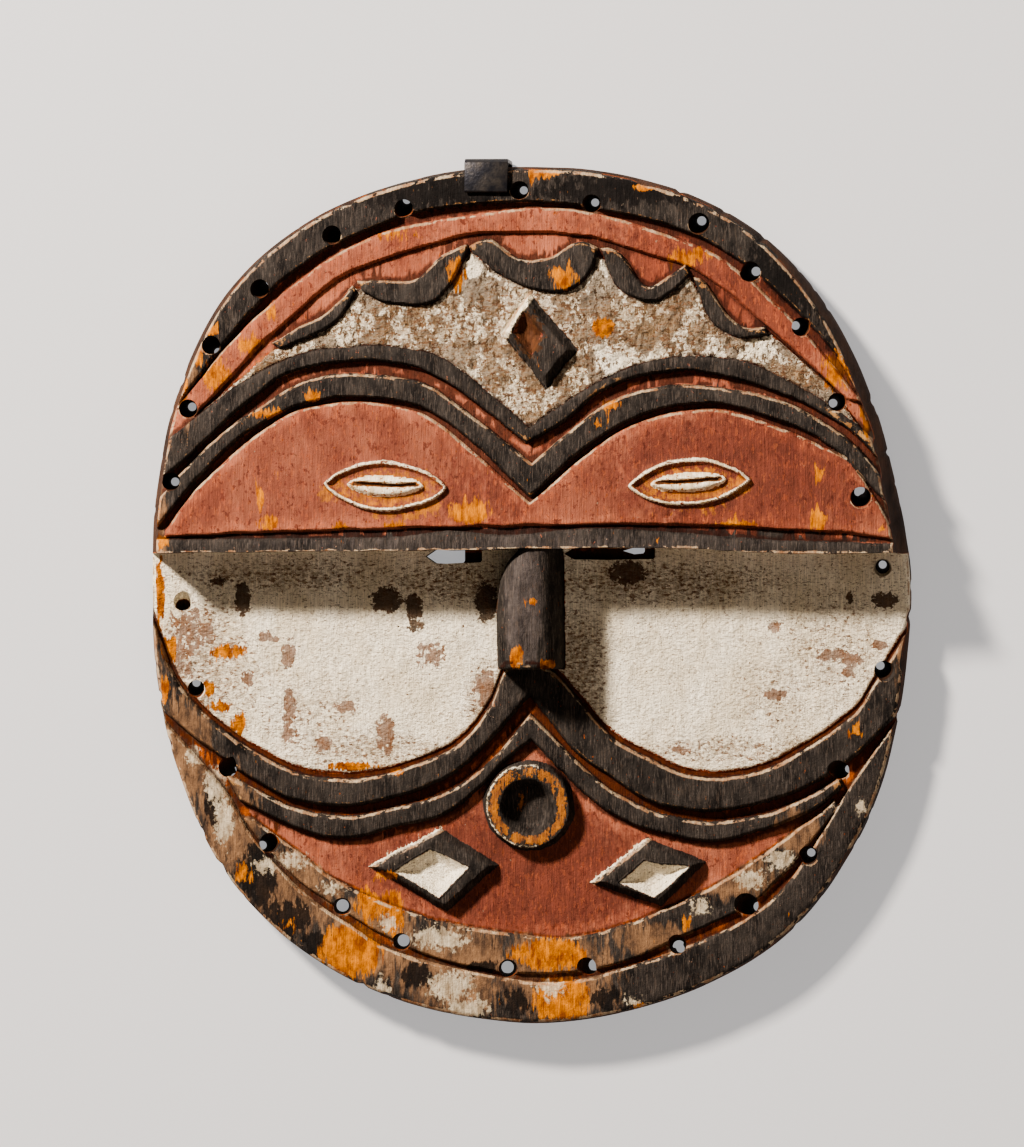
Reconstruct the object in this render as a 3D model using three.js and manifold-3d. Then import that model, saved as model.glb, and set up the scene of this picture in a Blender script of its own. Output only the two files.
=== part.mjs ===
// A round carved wooden face mask, lying on its back with the carved face up.
// Millimetres. +X is the wearer's left, +Y runs to the forehead, +Z out of the face.
// The origin is on the floor plane, under the middle of disc and clip together.
import * as THREE from 'three';
import { mergeVertices } from 'three/addons/utils/BufferGeometryUtils.js';
import { TessellateModifier } from 'three/addons/modifiers/TessellateModifier.js';
import Module from 'manifold-3d';

const wasm = await Module();
wasm.setup();

// Disc: its hand-hewn outline, turning left from the right side of the face
const OUTLINE = [
  [151.6, 0], [146.4, 39.2], [135.9, 78.4], [116.9, 116.9], [85.9, 148.8], [44.7, 166.9], [0, 172.5],
  [-45.2, 168.3], [-88.1, 152.6], [-123.3, 123.3], [-143.9, 83.1], [-153, 41], [-154.7, 5.4], [-153, -32.5],
  [-144.5, -70.5], [-125, -112.6], [-91, -145.6], [-47.6, -165.9], [6, -172.6], [58.7, -161.3],
  [100.1, -137.8], [129, -100.8], [144.6, -58.4],
];
const RING_POINTS = 69;
// How far the side wall stands inside the outline, from the back edge to the front
const SIDE_WALL = [[0, 2.5], [4, 0], [16, 0.7], [34, 4.6], [50, 6]];

// The overhanging forehead half, and the receding cheek half behind it
const BROW_HEIGHT = 43.5;
const FOREHEAD_SLOPE = 0.156;
const FOREHEAD_DOME = 4.5;
const SLOPE_START = 20;
const CHEEK_HEIGHT = 17.5;
const CHEEK_DOME = 1.5;
const DOME_REACH = 150;
const BLOCK_REACH = 175;
const BLOCK_DEPTH = 60;
const BAND_DEPTH = 15;
const BLOCK_OVERLAP = 5;
// Feet of the nose, the mouth and the lozenges, sunk into the plane under them
const SUNK = -4;
const LONGEST_EDGE = 34;
const SPLITS = 10;
const STEPS_PER_POINT = 1.6;
const MERGE = 1e-4;
const WELD = 0.004;
// The carving was measured in a view from the right, where all but this level stands aside by its height
const VIEW_LEAN = Math.tan(THREE.MathUtils.degToRad(4.5));
const VIEW_LEVEL = 25;

// Relief levels over the forehead and cheek planes
const GROOVE = -1.8;
const CHEEK_GROOVE = -1.2;
const RIM = 2.4;
const RED_BAND = 0.8;
const FOREHEAD = -0.4;
const CRESCENT = 1.8;
const BROW = 2.2;
const EYE_FIELD = 0.8;
const BAR = 1.6;
const CHEEK = 0;
const JAW_RIDGE = 3.2;
const LIP = 2.8;
const CHIN_BAND = 1.2;
const LOWER_RIM = 2;
const EDGE_BREAK = 0.7;
// How far the ends of lines are drawn out, so that each band runs past the disc's edge
const PAST_EDGE = 24;
const RIM_PAST_EDGE = 30;
const RED_PAST_END = 8;

// Hollow of the back: a superellipse, squarer at the forehead's left shoulder
const HOLLOW_HALF_WIDTH = 134.8;
const HOLLOW_HALF_HEIGHT = 154.4;
const SQUARE_SHOULDER = 2.5;
const ROUND_SHOULDER = 2.18;
// How far its wall leans in, from the back up
const HOLLOW_WALL = [[-2, 0], [6, 1.5], [40, 12]];
const FOREHEAD_WALL = 15;
const CHEEK_CEILING = 8;
const HOLLOW_STEP = 30;

// Fixing holes round the rim
const HOLE_DIAMETER = 7.2;
const HOLE_SIDES = 10;
const RIM_HOLES = [
  [-51.5, 155], [-80, 144.5], [-109, 123], [-128.5, 100], [-137.5, 74.5], [-144, 45.5], [-141.5, -3],
  [-136, -38], [-123.5, -69.5], [-106.5, -100], [-77, -125.5], [-53, -139.5], [-10, -150], [22, -149],
  [58, -140], [86, -124], [110.5, -104], [123, -70], [140.5, -30], [140, 11], [132, 39], [122.5, 77],
  [108, 107], [87.5, 129], [67, 148.5], [24, 156.5], [-5, 162],
];

// Eye slits under the bar: a groove for each, and the part of it that is cut right through, along X
const EYE_SLITS = [
  { left: -43.5, right: -20.5, low: 12.8, high: 18, through: [-43.5, -27.8] },
  { left: 12.5, right: 49, low: 14.2, high: 18.8, through: [34, 47.5] },
];
const SLIT_POINT = 4;
const SLIT_GROOVE = 6;
const SLIT_TOP = 3;

// Forehead carving, each line from the left of the face to the right
const RIM_INNER = [
  [-124, 99], [-114.5, 111], [-100.5, 125], [-84.5, 137], [-64.5, 146.5], [-40.5, 154], [-0.5, 157],
  [27.5, 154], [51.5, 148.5], [71.5, 140.5], [93.5, 125], [119.5, 98], [134.5, 71], [143, 50],
];
const RED_OUTER = [
  [-138, 81], [-122.5, 100], [-108.5, 113.5], [-92.5, 127], [-76.5, 137.5], [-52.5, 147.5],
  [-0.5, 155], [27.5, 152.5], [51.5, 145], [75.5, 135], [103.5, 111], [127.5, 83],
];
const RED_INNER = [
  [-130, 77], [-108.5, 100], [-96.5, 111], [-84.5, 121.5], [-68.5, 131], [-28.5, 143.5], [-0.5, 145],
  [23.5, 143], [47.5, 135.5], [67.5, 128.5], [95.5, 106], [120, 83.5],
];
const FOREHEAD_TOP = [
  [-131.5, 74.5], [-103, 98.5], [-78, 112], [-71, 123], [-50, 121], [-29, 132], [-25, 138], [-6, 129],
  [10, 128], [26, 137], [34, 130], [48, 120], [63, 128], [71, 115], [84, 105], [95, 105], [120, 83],
];
const CRESCENTS = [
  [[[-104, 101], [-92.5, 108], [-82.5, 113], [-72, 124]],
    [[-100.5, 98.5], [-86.5, 104], [-76.5, 111], [-70, 122]]],
  [[[-70, 125.5], [-60.5, 126], [-46.5, 126.5], [-36.5, 136], [-26, 140.5]],
    [[-68.5, 122], [-58.5, 117], [-40.5, 116.5], [-32.5, 124], [-25.5, 138]]],
  [[[-25.5, 139.5], [-16.5, 142.5], [-4.5, 134.5], [7.5, 135.5], [18.5, 141.5], [26.5, 139]],
    [[-24, 137], [-12.5, 128], [3.5, 121], [15.5, 122], [23.5, 129], [26.5, 137]]],
  [[[27.5, 139], [35.5, 137], [45.5, 123.5], [54.5, 127.5], [61.5, 132]],
    [[28.5, 136], [34.5, 123], [48, 116.5], [59.5, 123], [64, 128.5]]],
  [[[64.5, 127], [69.5, 125], [77.5, 113], [85.5, 107], [93.5, 107.5]],
    [[65.5, 124.5], [72, 109], [83.5, 102.5], [95.5, 103.5]]],
];
// Each brow edge is a left and a right curve that meet in a sharp V over the nose
const UPPER_BROW_TOP = [
  [[-148.5, 60.5], [-116.5, 85], [-92.5, 96.5], [-72.5, 99.5], [-52.5, 99], [-32.5, 93], [-1, 67]],
  [[-1, 67], [15.5, 78.5], [35.5, 89.5], [55.5, 95], [73.5, 95], [91.5, 91], [122, 74], [142, 57]],
];
const UPPER_BROW_FOOT = [
  [[-148.5, 45], [-112.5, 78], [-96.5, 88.5], [-72.5, 93.5], [-52.5, 92], [-32.5, 84], [-2, 60.5]],
  [[-2, 60.5], [11.5, 68], [27.5, 80.5], [43.5, 87], [67.5, 89], [99.5, 80.5], [127.5, 65],
    [146, 44.5]],
];
const LOWER_BROW_TOP = [
  [[-149.5, 39], [-128, 62], [-100.5, 81], [-86.5, 87], [-72.5, 89], [-52.5, 87], [-36.5, 81],
    [0, 53]],
  [[0, 53], [21.5, 71], [35.5, 79.5], [51.5, 83.5], [67.5, 84], [99.5, 78], [127.5, 61], [146.5, 38]],
];
const LOWER_BROW_FOOT = [
  [[-150, 27], [-124.5, 56], [-102.5, 71.5], [-86.5, 77], [-72.5, 79], [-52.5, 77], [-32.5, 68],
    [-0.4, 38.6]],
  [[-0.4, 38.6], [23.5, 60], [47.5, 73], [67.5, 76], [83.5, 74.5], [115.5, 61.5], [139.5, 38],
    [147.5, 24.5]],
];
const EYE_FIELD_TOP = [
  [[-147.5, 25], [-132.5, 45], [-102.5, 70], [-84.5, 76], [-68.5, 77.5], [-52.5, 75], [-36.5, 68.5],
    [-0.6, 37.2]],
  [[-0.6, 37.2], [27.5, 61], [49.5, 71.5], [67.5, 74], [83.5, 72.5], [119.5, 58], [131.5, 48],
    [144.5, 24.5]],
];
const EYE_FIELD_FOOT = [
  [-147.5, 24], [-92.5, 26.5], [-12.5, 28.5], [47.5, 29], [107.5, 27], [144.5, 23.5],
];
const BAR_TOP = [
  [-150, 22.5], [-80.5, 23], [-52.5, 23.5], [-32.5, 26], [-8.5, 24], [23.5, 27], [59.5, 25], [99.5, 22],
  [149.5, 21],
];
const BAR_FOOT = [[-150, 17], [-52.5, 18], [-12.5, 18.5], [27.5, 19], [59.5, 19], [99.5, 17], [150, 17]];
// Lozenge over the nose: foot, then the pit in its top, each as left, top, right, bottom
const LOZENGE = {
  foot: [[-12.5, 105], [-2, 121.5], [18.5, 98], [6, 82]],
  pit: [[-8, 105], [-3, 114], [5.5, 104], [0.5, 94.5]],
};
const LOZENGE_HEIGHT = 4.6;
const LOZENGE_SHRINK = 0.72;
// Almond eyes: middle, half length, half height, tilt in degrees
const EYES = [
  { at: [-58.5, 43.5], half: [24.5, 10.4], tilt: -2 },
  { at: [62.7, 45], half: [24.8, 9.8], tilt: 3 },
];
const EYE_SIDES = 16;
const EYE_POINTEDNESS = 1.5;
const EYE_HEIGHT = 2.6;
const EYE_TOP = [0.9, 0.72];
const EYE_SLIT_DEPTH = 1.7;
const EYE_SLIT_FLOOR = [0.45, 0.08];
const EYE_SLIT_MOUTH = [0.72, 0.42];

// Cheek and jaw carving
const JAW_TOP = [
  [[-150, -16.5], [-140.5, -38], [-120.5, -57], [-96.5, -70.5], [-80.5, -73.5], [-64.5, -73], [-44.5, -67],
    [-28.5, -59], [-16.5, -44], [-10.5, -30], [-3, -26]],
  [[-3, -26], [8, -30], [17.5, -40], [31.5, -56], [47.5, -65], [59.5, -70.5], [75.5, -73], [99.5, -67],
    [127.5, -49], [137.5, -35], [150.5, -15]],
];
const JAW_FOOT = [
  [[-147.5, -48], [-126.5, -65], [-100.5, -81], [-80.5, -85], [-60.5, -83], [-36.5, -75], [-22.5, -65],
    [-0.5, -41]],
  [[-0.5, -41], [17.5, -63], [31.5, -73], [47.5, -83], [71.5, -87], [95.5, -83], [123.5, -70],
    [148, -47]],
];
const LIP_TOP = [
  [[-124, -71], [-96.5, -85], [-72.5, -88.5], [-52.5, -84.5], [-36.5, -80], [-24.5, -73], [-12.5, -62],
    [-0.5, -47.5]],
  [[-0.5, -47.5], [25.5, -73], [39.5, -82], [53.5, -87.5], [71.5, -90.5], [91.5, -88], [107.5, -82],
    [123.5, -73]],
];
const LIP_FOOT = [
  [[-118, -83], [-92.5, -95], [-72.5, -98], [-52.5, -93], [-36.5, -89], [-22.5, -80], [-10.5, -67],
    [0, -59]],
  [[0, -59], [23.5, -82], [39.5, -91.5], [55.5, -96], [71.5, -99], [91.5, -95], [111.5, -87],
    [125.5, -77]],
];
const CHIN_BAND_TOP = [
  [-112.5, -90], [-92.5, -104.5], [-76.5, -116], [-60.5, -123], [-36.5, -131], [3.5, -137],
  [19.5, -136.5], [43.5, -130], [75.5, -115], [99.5, -99], [121.5, -82],
];
const CHIN_BAND_FOOT = [
  [-116.5, -90], [-105.5, -104.5], [-88.5, -119], [-68.5, -132], [-44.5, -144], [-16.5, -151],
  [3.5, -152], [31.5, -149], [51.5, -141], [75.5, -130.5], [95.5, -118], [123.5, -85],
];
const LOWER_RIM_TOP = [
  [-146, -53], [-132.5, -68], [-122.5, -80], [-112.5, -97], [-92.5, -119], [-72.5, -133], [-52.5, -144],
  [-4.5, -154.5], [19.5, -154], [51.5, -144.5], [83.5, -131], [103.5, -114], [129.5, -74],
  [147.5, -48.5],
];
const CHEEK_GAP = 2;
const MOUTH = { at: [-1, -84.5], radius: 16.4, foot: 18.2, bowl: 11.6, floor: 6, height: 5.6, sides: 22 };
const MOUTH_TAPER = 0.7;
const CHEEK_LOZENGES = [
  {
    foot: [[-66, -109], [-36.5, -93.5], [-13, -108.5], [-34, -127.5]],
    pit: [[-55, -111], [-40.5, -102], [-25, -109], [-36.5, -121.5]],
  },
  {
    foot: [[23.5, -115.5], [47, -97], [70, -107], [52, -125]],
    pit: [[35.5, -115.5], [45.5, -106.5], [64, -109], [49.5, -121]],
  },
];
const CHEEK_LOZENGE_HEIGHT = 4.8;
const CHEEK_LOZENGE_SHRINK = 0.9;
const PIT_FLOOR = 0.4;
const PIT_TAPER = 0.8;
// How far a cutter stands out over what it cuts
const CUT_OVER = 0.5;

// Nose: left edge, right edge and height over the cheek, from its tip up to the bar
const NOSE_STATIONS = [
  { y: -29.5, left: -12.9, right: 13.2, height: 26.8 },
  { y: -18, left: -13.2, right: 13.2, height: 27.2 },
  { y: -5, left: -13.4, right: 13, height: 27.2 },
  { y: 6, left: -11.8, right: 12.9, height: 27 },
  { y: 13, left: -9, right: 12.8, height: 26.8 },
  { y: 19, left: -3.5, right: 12.4, height: 26.6 },
];
const NOSE_STEPS = 8;
const NOSE_SQUARENESS = 3;

// Metal clip hooked over the rim
const CLIP = {
  left: -27, right: -9.5, lip: 161, back: 162, metal: 1.8, gap: 0.4, seat: 2.2, crown: 174.6,
};
const CLIP_BREAK = 0.7;
const SEAT_GAP = 0.6;

const woodMaterial = new THREE.MeshStandardMaterial({ color: 0x6d4434, roughness: 0.85, metalness: 0 });
const metalMaterial = new THREE.MeshStandardMaterial({
  color: 0x2e2a2b, roughness: 0.45, metalness: 0.6,
});

// Solids from closed geometries, and back
function toSolid(geometry) {
  const bare = geometry.clone();
  bare.deleteAttribute('normal');
  bare.deleteAttribute('uv');
  const merged = mergeVertices(bare, MERGE);
  return new wasm.Manifold(new wasm.Mesh({
    numProp: 3,
    vertProperties: new Float32Array(merged.attributes.position.array),
    triVerts: new Uint32Array(merged.index.array),
  }));
}

function toGeometry(solid) {
  const mesh = solid.getMesh();
  const geometry = new THREE.BufferGeometry();
  geometry.setAttribute('position', new THREE.BufferAttribute(mesh.vertProperties, 3));
  geometry.setIndex(new THREE.BufferAttribute(mesh.triVerts, 1));
  return geometry;
}

// Close the hairline gaps that rounding leaves: merge near corners and drop the faces that vanish
function welded(geometry) {
  const merged = mergeVertices(geometry, WELD);
  const index = merged.index.array;
  const kept = [];
  for (let face = 0; face < index.length; face += 3) {
    const [a, b, c] = index.slice(face, face + 3);
    if (a !== b && b !== c && c !== a) {
      kept.push(a, b, c);
    }
  }
  merged.setIndex(kept);
  return merged;
}

// The disc's outline, drawn in by an inset
function outline(inset) {
  const curve = new THREE.CatmullRomCurve3(
    OUTLINE.map(([x, y]) => new THREE.Vector3(x, y, 0)),
    true,
    'catmullrom',
  );
  return curve.getPoints(RING_POINTS).slice(1).map(({ x, y }) => {
    const share = 1 - inset / Math.hypot(x, y);
    return [x * share, y * share];
  });
}

// The hollow's outline, drawn in by an inset
function hollowRing(inset) {
  const points = [];
  for (let step = 0; step < RING_POINTS; step += 1) {
    const angle = (2 * Math.PI * step) / RING_POINTS;
    const across = Math.cos(angle);
    const along = Math.sin(angle);
    const power = 2 / (across < 0 && along > 0 ? SQUARE_SHOULDER : ROUND_SHOULDER);
    points.push([
      (HOLLOW_HALF_WIDTH - inset) * Math.sign(across) * Math.abs(across) ** power,
      (HOLLOW_HALF_HEIGHT - inset) * Math.sign(along) * Math.abs(along) ** power,
    ]);
  }
  return points;
}

// A closed solid through rings of equal length, listed from low to high
function loft(rings) {
  const count = rings[0].length;
  const positions = [];
  const faces = [];
  const middle = (ring) => ring.reduce((sum, p) => sum.map((v, i) => v + p[i] / count), [0, 0, 0]);
  rings.forEach((ring) => ring.forEach((point) => positions.push(...point)));
  const low = positions.length / 3;
  positions.push(...middle(rings[0]), ...middle(rings[rings.length - 1]));
  const top = (rings.length - 1) * count;
  for (let step = 0; step < count; step += 1) {
    const next = (step + 1) % count;
    for (let base = 0; base < top; base += count) {
      faces.push(base + step, base + next, base + count + next);
      faces.push(base + step, base + count + next, base + count + step);
    }
    faces.push(low, next, step);
    faces.push(low + 1, top + step, top + next);
  }
  const geometry = new THREE.BufferGeometry();
  geometry.setAttribute('position', new THREE.Float32BufferAttribute(positions, 3));
  geometry.setIndex(faces);
  return geometry;
}

// Lines through measured points, two runs of them meeting at a corner, and their ends drawn out
function smooth(points) {
  const curve = new THREE.SplineCurve(points.map(([x, y]) => new THREE.Vector2(x, y)));
  return curve.getPoints(Math.round(points.length * STEPS_PER_POINT)).map((p) => [p.x, p.y]);
}

function cornered([left, right]) {
  return [...smooth(left), ...smooth(right).slice(1)];
}

function beyond(line, reach) {
  const push = ([x0, y0], [x1, y1]) => {
    const length = Math.hypot(x1 - x0, y1 - y0);
    return [x1 + ((x1 - x0) * reach) / length, y1 + ((y1 - y0) * reach) / length];
  };
  return [push(line[1], line[0]), ...line, push(line[line.length - 2], line[line.length - 1])];
}

// A closed plate over an area, from one height to another, its upper edges broken by a chamfer
function plate(area, low, high, chamfer = EDGE_BREAK) {
  const shape = new THREE.Shape(area.map(([x, y]) => new THREE.Vector2(x, y)));
  const geometry = new THREE.ExtrudeGeometry(shape, {
    depth: high - low - 2 * chamfer,
    bevelEnabled: chamfer > 0,
    bevelThickness: chamfer,
    bevelSize: chamfer,
    bevelOffset: -chamfer,
    bevelSegments: 1,
  });
  geometry.translate(0, 0, low + chamfer);
  return toSolid(geometry);
}

function band(upperLine, lowerLine, height, chamfer = EDGE_BREAK) {
  return plate([...upperLine, ...[...lowerLine].reverse()], -BAND_DEPTH, height, chamfer);
}

// A raised lozenge that narrows upwards, with a pit in its top
function lozenge({ foot, pit }, height, shrink) {
  const middle = [0, 1].map((axis) => foot.reduce((sum, p) => sum + p[axis] / foot.length, 0));
  const ring = (corners, scale, z) => corners.map((p) => [
    middle[0] + (p[0] - middle[0]) * scale, middle[1] + (p[1] - middle[1]) * scale, z,
  ]).reverse();
  const body = toSolid(loft([ring(foot, 1, SUNK), ring(foot, 1, -0.5), ring(foot, shrink, height)]));
  const hole = toSolid(loft([ring(pit, PIT_TAPER, PIT_FLOOR), ring(pit, 1, height + CUT_OVER)]));
  return { body, hole };
}

// An almond eye: two arcs meeting in points, with a slit between the lids
function almond({ at, half, tilt }) {
  const turn = THREE.MathUtils.degToRad(tilt);
  const ring = ([scaleX, scaleY], z) => {
    const points = [];
    for (let step = 0; step < EYE_SIDES; step += 1) {
      const angle = (2 * Math.PI * step) / EYE_SIDES;
      const rise = Math.sign(Math.sin(angle)) * Math.abs(Math.sin(angle)) ** EYE_POINTEDNESS;
      const x = half[0] * scaleX * Math.cos(angle);
      const y = half[1] * scaleY * rise;
      points.push([
        at[0] + x * Math.cos(turn) - y * Math.sin(turn),
        at[1] + x * Math.sin(turn) + y * Math.cos(turn),
        z,
      ]);
    }
    return points;
  };
  const body = toSolid(loft([
    ring([1, 1], SUNK), ring([1, 1], EYE_FIELD), ring(EYE_TOP, EYE_HEIGHT),
  ]));
  const slit = toSolid(loft([
    ring(EYE_SLIT_FLOOR, EYE_HEIGHT - EYE_SLIT_DEPTH), ring(EYE_SLIT_MOUTH, EYE_HEIGHT + CUT_OVER),
  ]));
  return { body, slit };
}

// The nose: sections across the face, flat below and full in front
function nose() {
  const rings = NOSE_STATIONS.map(({ y, left, right, height }) => {
    const middle = (left + right) / 2;
    const half = (right - left) / 2;
    const ring = [[right, y, SUNK], [left, y, SUNK]];
    for (let step = 0; step <= NOSE_STEPS; step += 1) {
      const angle = (Math.PI * step) / NOSE_STEPS;
      const across = Math.cos(angle);
      const up = Math.abs(Math.sin(angle)) ** (2 / NOSE_SQUARENESS);
      const out = Math.sign(across) * Math.abs(across) ** (2 / NOSE_SQUARENESS);
      ring.push([middle - half * out, y, height * up]);
    }
    return ring;
  });
  return toSolid(loft(rings));
}

// The mouth: a raised ring round a bowl
function mouthRing() {
  const ring = (radius, z) => Array.from({ length: MOUTH.sides }, (_, step) => {
    const angle = (2 * Math.PI * step) / MOUTH.sides;
    return [MOUTH.at[0] + radius * Math.cos(angle), MOUTH.at[1] + radius * Math.sin(angle), z];
  });
  const body = toSolid(loft([
    ring(MOUTH.foot, SUNK), ring(MOUTH.foot, CHEEK_GROOVE), ring(MOUTH.radius, MOUTH.height),
  ]));
  const bowl = toSolid(loft([
    ring(MOUTH.bowl * MOUTH_TAPER, MOUTH.height - MOUTH.floor), ring(MOUTH.bowl, MOUTH.height + CUT_OVER),
  ]));
  return { body, bowl };
}

// Lay flat relief over a gently domed plane, each place moved to where it stands when seen square on
function drape(solid, height) {
  const flat = toGeometry(solid).toNonIndexed();
  const fine = new TessellateModifier(LONGEST_EDGE, SPLITS).modify(flat);
  const position = fine.attributes.position;
  for (let index = 0; index < position.count; index += 1) {
    const x = position.getX(index);
    const y = position.getY(index);
    const rise = height(x, y);
    position.setX(index, x + VIEW_LEAN * (rise - VIEW_LEVEL));
    position.setZ(index, position.getZ(index) + rise);
  }
  return toSolid(fine);
}

function foreheadHeight(x, y) {
  const slope = FOREHEAD_SLOPE * (y - SLOPE_START);
  return BROW_HEIGHT - slope - FOREHEAD_DOME * (x / DOME_REACH) ** 2;
}

function cheekHeight(x) {
  return CHEEK_HEIGHT - CHEEK_DOME * (x / DOME_REACH) ** 2;
}

// A raised band between two lines whose ends run out past the disc's edge
function longBand(upperLine, lowerLine, height) {
  return band(beyond(upperLine, PAST_EDGE), beyond(lowerLine, PAST_EDGE), height);
}

function foreheadBlock() {
  const sky = [[BLOCK_REACH, BLOCK_REACH], [-BLOCK_REACH, BLOCK_REACH]];
  let block = plate([...beyond(smooth(BAR_FOOT), PAST_EDGE), ...sky], -BLOCK_DEPTH, GROOVE, 0);
  block = block.add(plate([...beyond(smooth(RIM_INNER), RIM_PAST_EDGE), ...sky], -BAND_DEPTH, RIM));
  const redEdges = [RED_OUTER, RED_INNER].map((line) => beyond(smooth(line), RED_PAST_END));
  block = block.add(band(...redEdges, RED_BAND));
  block = block.add(band(FOREHEAD_TOP, cornered(UPPER_BROW_FOOT), FOREHEAD, 0));
  CRESCENTS.forEach(([top, foot]) => {
    block = block.add(band(smooth(top), smooth(foot), CRESCENT, 0));
  });
  block = block.add(longBand(cornered(UPPER_BROW_TOP), cornered(UPPER_BROW_FOOT), BROW));
  block = block.add(longBand(cornered(LOWER_BROW_TOP), cornered(LOWER_BROW_FOOT), BROW));
  block = block.add(band(cornered(EYE_FIELD_TOP), smooth(EYE_FIELD_FOOT), EYE_FIELD));
  block = block.add(longBand(smooth(BAR_TOP), smooth(BAR_FOOT), BAR));
  const { body, hole } = lozenge(LOZENGE, LOZENGE_HEIGHT, LOZENGE_SHRINK);
  block = block.add(body).subtract(hole);
  EYES.map(almond).forEach((eye) => {
    block = block.add(eye.body).subtract(eye.slit);
  });
  return drape(block, foreheadHeight);
}

function cheekBlock() {
  const ceiling = SLOPE_START + BLOCK_OVERLAP;
  const top = [[-BLOCK_REACH, ceiling], [BLOCK_REACH, ceiling]];
  const ground = [[-BLOCK_REACH, -BLOCK_REACH], [BLOCK_REACH, -BLOCK_REACH]];
  let block = plate([...[...top].reverse(), ...ground], -BLOCK_DEPTH, CHEEK_GROOVE, 0);
  const cheekEdge = cornered(JAW_TOP).map(([x, y]) => [x, y + CHEEK_GAP]);
  block = block.add(band(top, beyond(cheekEdge, PAST_EDGE), CHEEK));
  block = block.add(longBand(cornered(JAW_TOP), cornered(JAW_FOOT), JAW_RIDGE));
  block = block.add(band(cornered(LIP_TOP), cornered(LIP_FOOT), LIP));
  block = block.add(band(smooth(CHIN_BAND_TOP), smooth(CHIN_BAND_FOOT), CHIN_BAND));
  block = block.add(band(beyond(smooth(LOWER_RIM_TOP), PAST_EDGE), ground, LOWER_RIM));
  CHEEK_LOZENGES.forEach((shape) => {
    const { body, hole } = lozenge(shape, CHEEK_LOZENGE_HEIGHT, CHEEK_LOZENGE_SHRINK);
    block = block.add(body).subtract(hole);
  });
  const { body, bowl } = mouthRing();
  block = block.add(body).subtract(bowl).add(nose());
  return drape(block, cheekHeight);
}

// The hollow for the wearer's face: shallow behind the cheeks, deep behind the brow
function hollow() {
  const dish = toSolid(loft(HOLLOW_WALL.map(([z, inset]) => (
    hollowRing(inset).map(([x, y]) => [x, y, z])))));
  const half = BLOCK_REACH;
  const low = plate([[-half, -half], [half, -half], [half, half], [-half, half]], SUNK, CHEEK_CEILING, 0);
  const upper = [[-half, HOLLOW_STEP], [half, HOLLOW_STEP], [half, half], [-half, half]];
  const deep = drape(plate(upper, -BLOCK_DEPTH, -FOREHEAD_WALL, 0), foreheadHeight);
  return dish.intersect(low.add(deep));
}

function rimBores() {
  const radius = HOLE_DIAMETER / 2;
  return RIM_HOLES.map(([x, y]) => {
    const bore = new THREE.CylinderGeometry(radius, radius, 2 * BLOCK_DEPTH, HOLE_SIDES);
    bore.rotateX(Math.PI / 2);
    bore.translate(x, y, 0);
    return toSolid(bore);
  });
}

// Each eye slit as a groove, with a pointed left end, and the cut right through a part of it
function eyeSlits() {
  const slot = (left, right, low, high, foot) => plate([
    [left + SLIT_POINT, low], [right, low], [right, high], [left + SLIT_POINT, high],
    [left, (low + high) / 2],
  ], foot, CHEEK_HEIGHT + SLIT_TOP, 0);
  return EYE_SLITS.flatMap(({ left, right, low, high, through }) => [
    slot(left, right, low, high, CHEEK_HEIGHT - SLIT_GROOVE),
    slot(...through, low, high, SUNK),
  ]);
}

// The clip's side view, along Y and Z, following the slope of the rim under its lip
function clipProfile() {
  const face = (y) => foreheadHeight(0, y) + RIM + CLIP.gap;
  const inner = CLIP.crown - CLIP.metal;
  const legTop = CLIP.seat - CLIP.gap / 2;
  return [
    [CLIP.back, legTop - CLIP.metal],
    [CLIP.crown, legTop - CLIP.metal],
    [CLIP.crown, face(inner) + CLIP.metal * 0.5],
    [inner + 0.4, face(inner) + CLIP.metal],
    [CLIP.lip, face(CLIP.lip) + CLIP.metal],
    [CLIP.lip - CLIP_BREAK, face(CLIP.lip) + CLIP.metal * 0.5],
    [CLIP.lip, face(CLIP.lip)],
    [inner, face(inner)],
    [inner, legTop],
    [CLIP.back, legTop],
  ];
}

function clip() {
  const shape = new THREE.Shape(clipProfile().map(([y, z]) => new THREE.Vector2(y, z)));
  const geometry = new THREE.ExtrudeGeometry(shape, {
    depth: CLIP.right - CLIP.left,
    bevelEnabled: false,
  });
  geometry.rotateX(Math.PI / 2);
  geometry.rotateZ(Math.PI / 2);
  geometry.translate(CLIP.left, 0, 0);
  return toSolid(geometry);
}

// A shallow seat let into the back for the clip's rear leg
function clipSeat() {
  return plate([
    [CLIP.left - SEAT_GAP, CLIP.back - SEAT_GAP], [CLIP.right + SEAT_GAP, CLIP.back - SEAT_GAP],
    [CLIP.right + SEAT_GAP, BLOCK_REACH], [CLIP.left - SEAT_GAP, BLOCK_REACH],
  ], SUNK, CLIP.seat + CLIP.gap / 2, 0);
}

const disc = toSolid(loft(SIDE_WALL.map(([z, inset]) => outline(inset).map(([x, y]) => [x, y, z]))));
let carved = foreheadBlock().add(cheekBlock()).intersect(disc).subtract(hollow()).subtract(clipSeat());
[...rimBores(), ...eyeSlits()].forEach((cut) => {
  carved = carved.subtract(cut);
});

// The whole is moved so that the origin lies under the middle of disc and clip together
const across = outline(0).map(([x]) => x);
const along = outline(0).map(([, y]) => y);
const group = new THREE.Group();
group.position.x = -(Math.min(...across) + Math.max(...across)) / 2;
group.position.y = -(Math.min(...along) + CLIP.crown) / 2;
const mask = new THREE.Mesh(welded(toGeometry(carved)), woodMaterial);
mask.name = 'carved_mask';
group.add(mask);
const rimClip = new THREE.Mesh(toGeometry(clip()), metalMaterial);
rimClip.name = 'rim_clip';
group.add(rimClip);

export default group;
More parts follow.
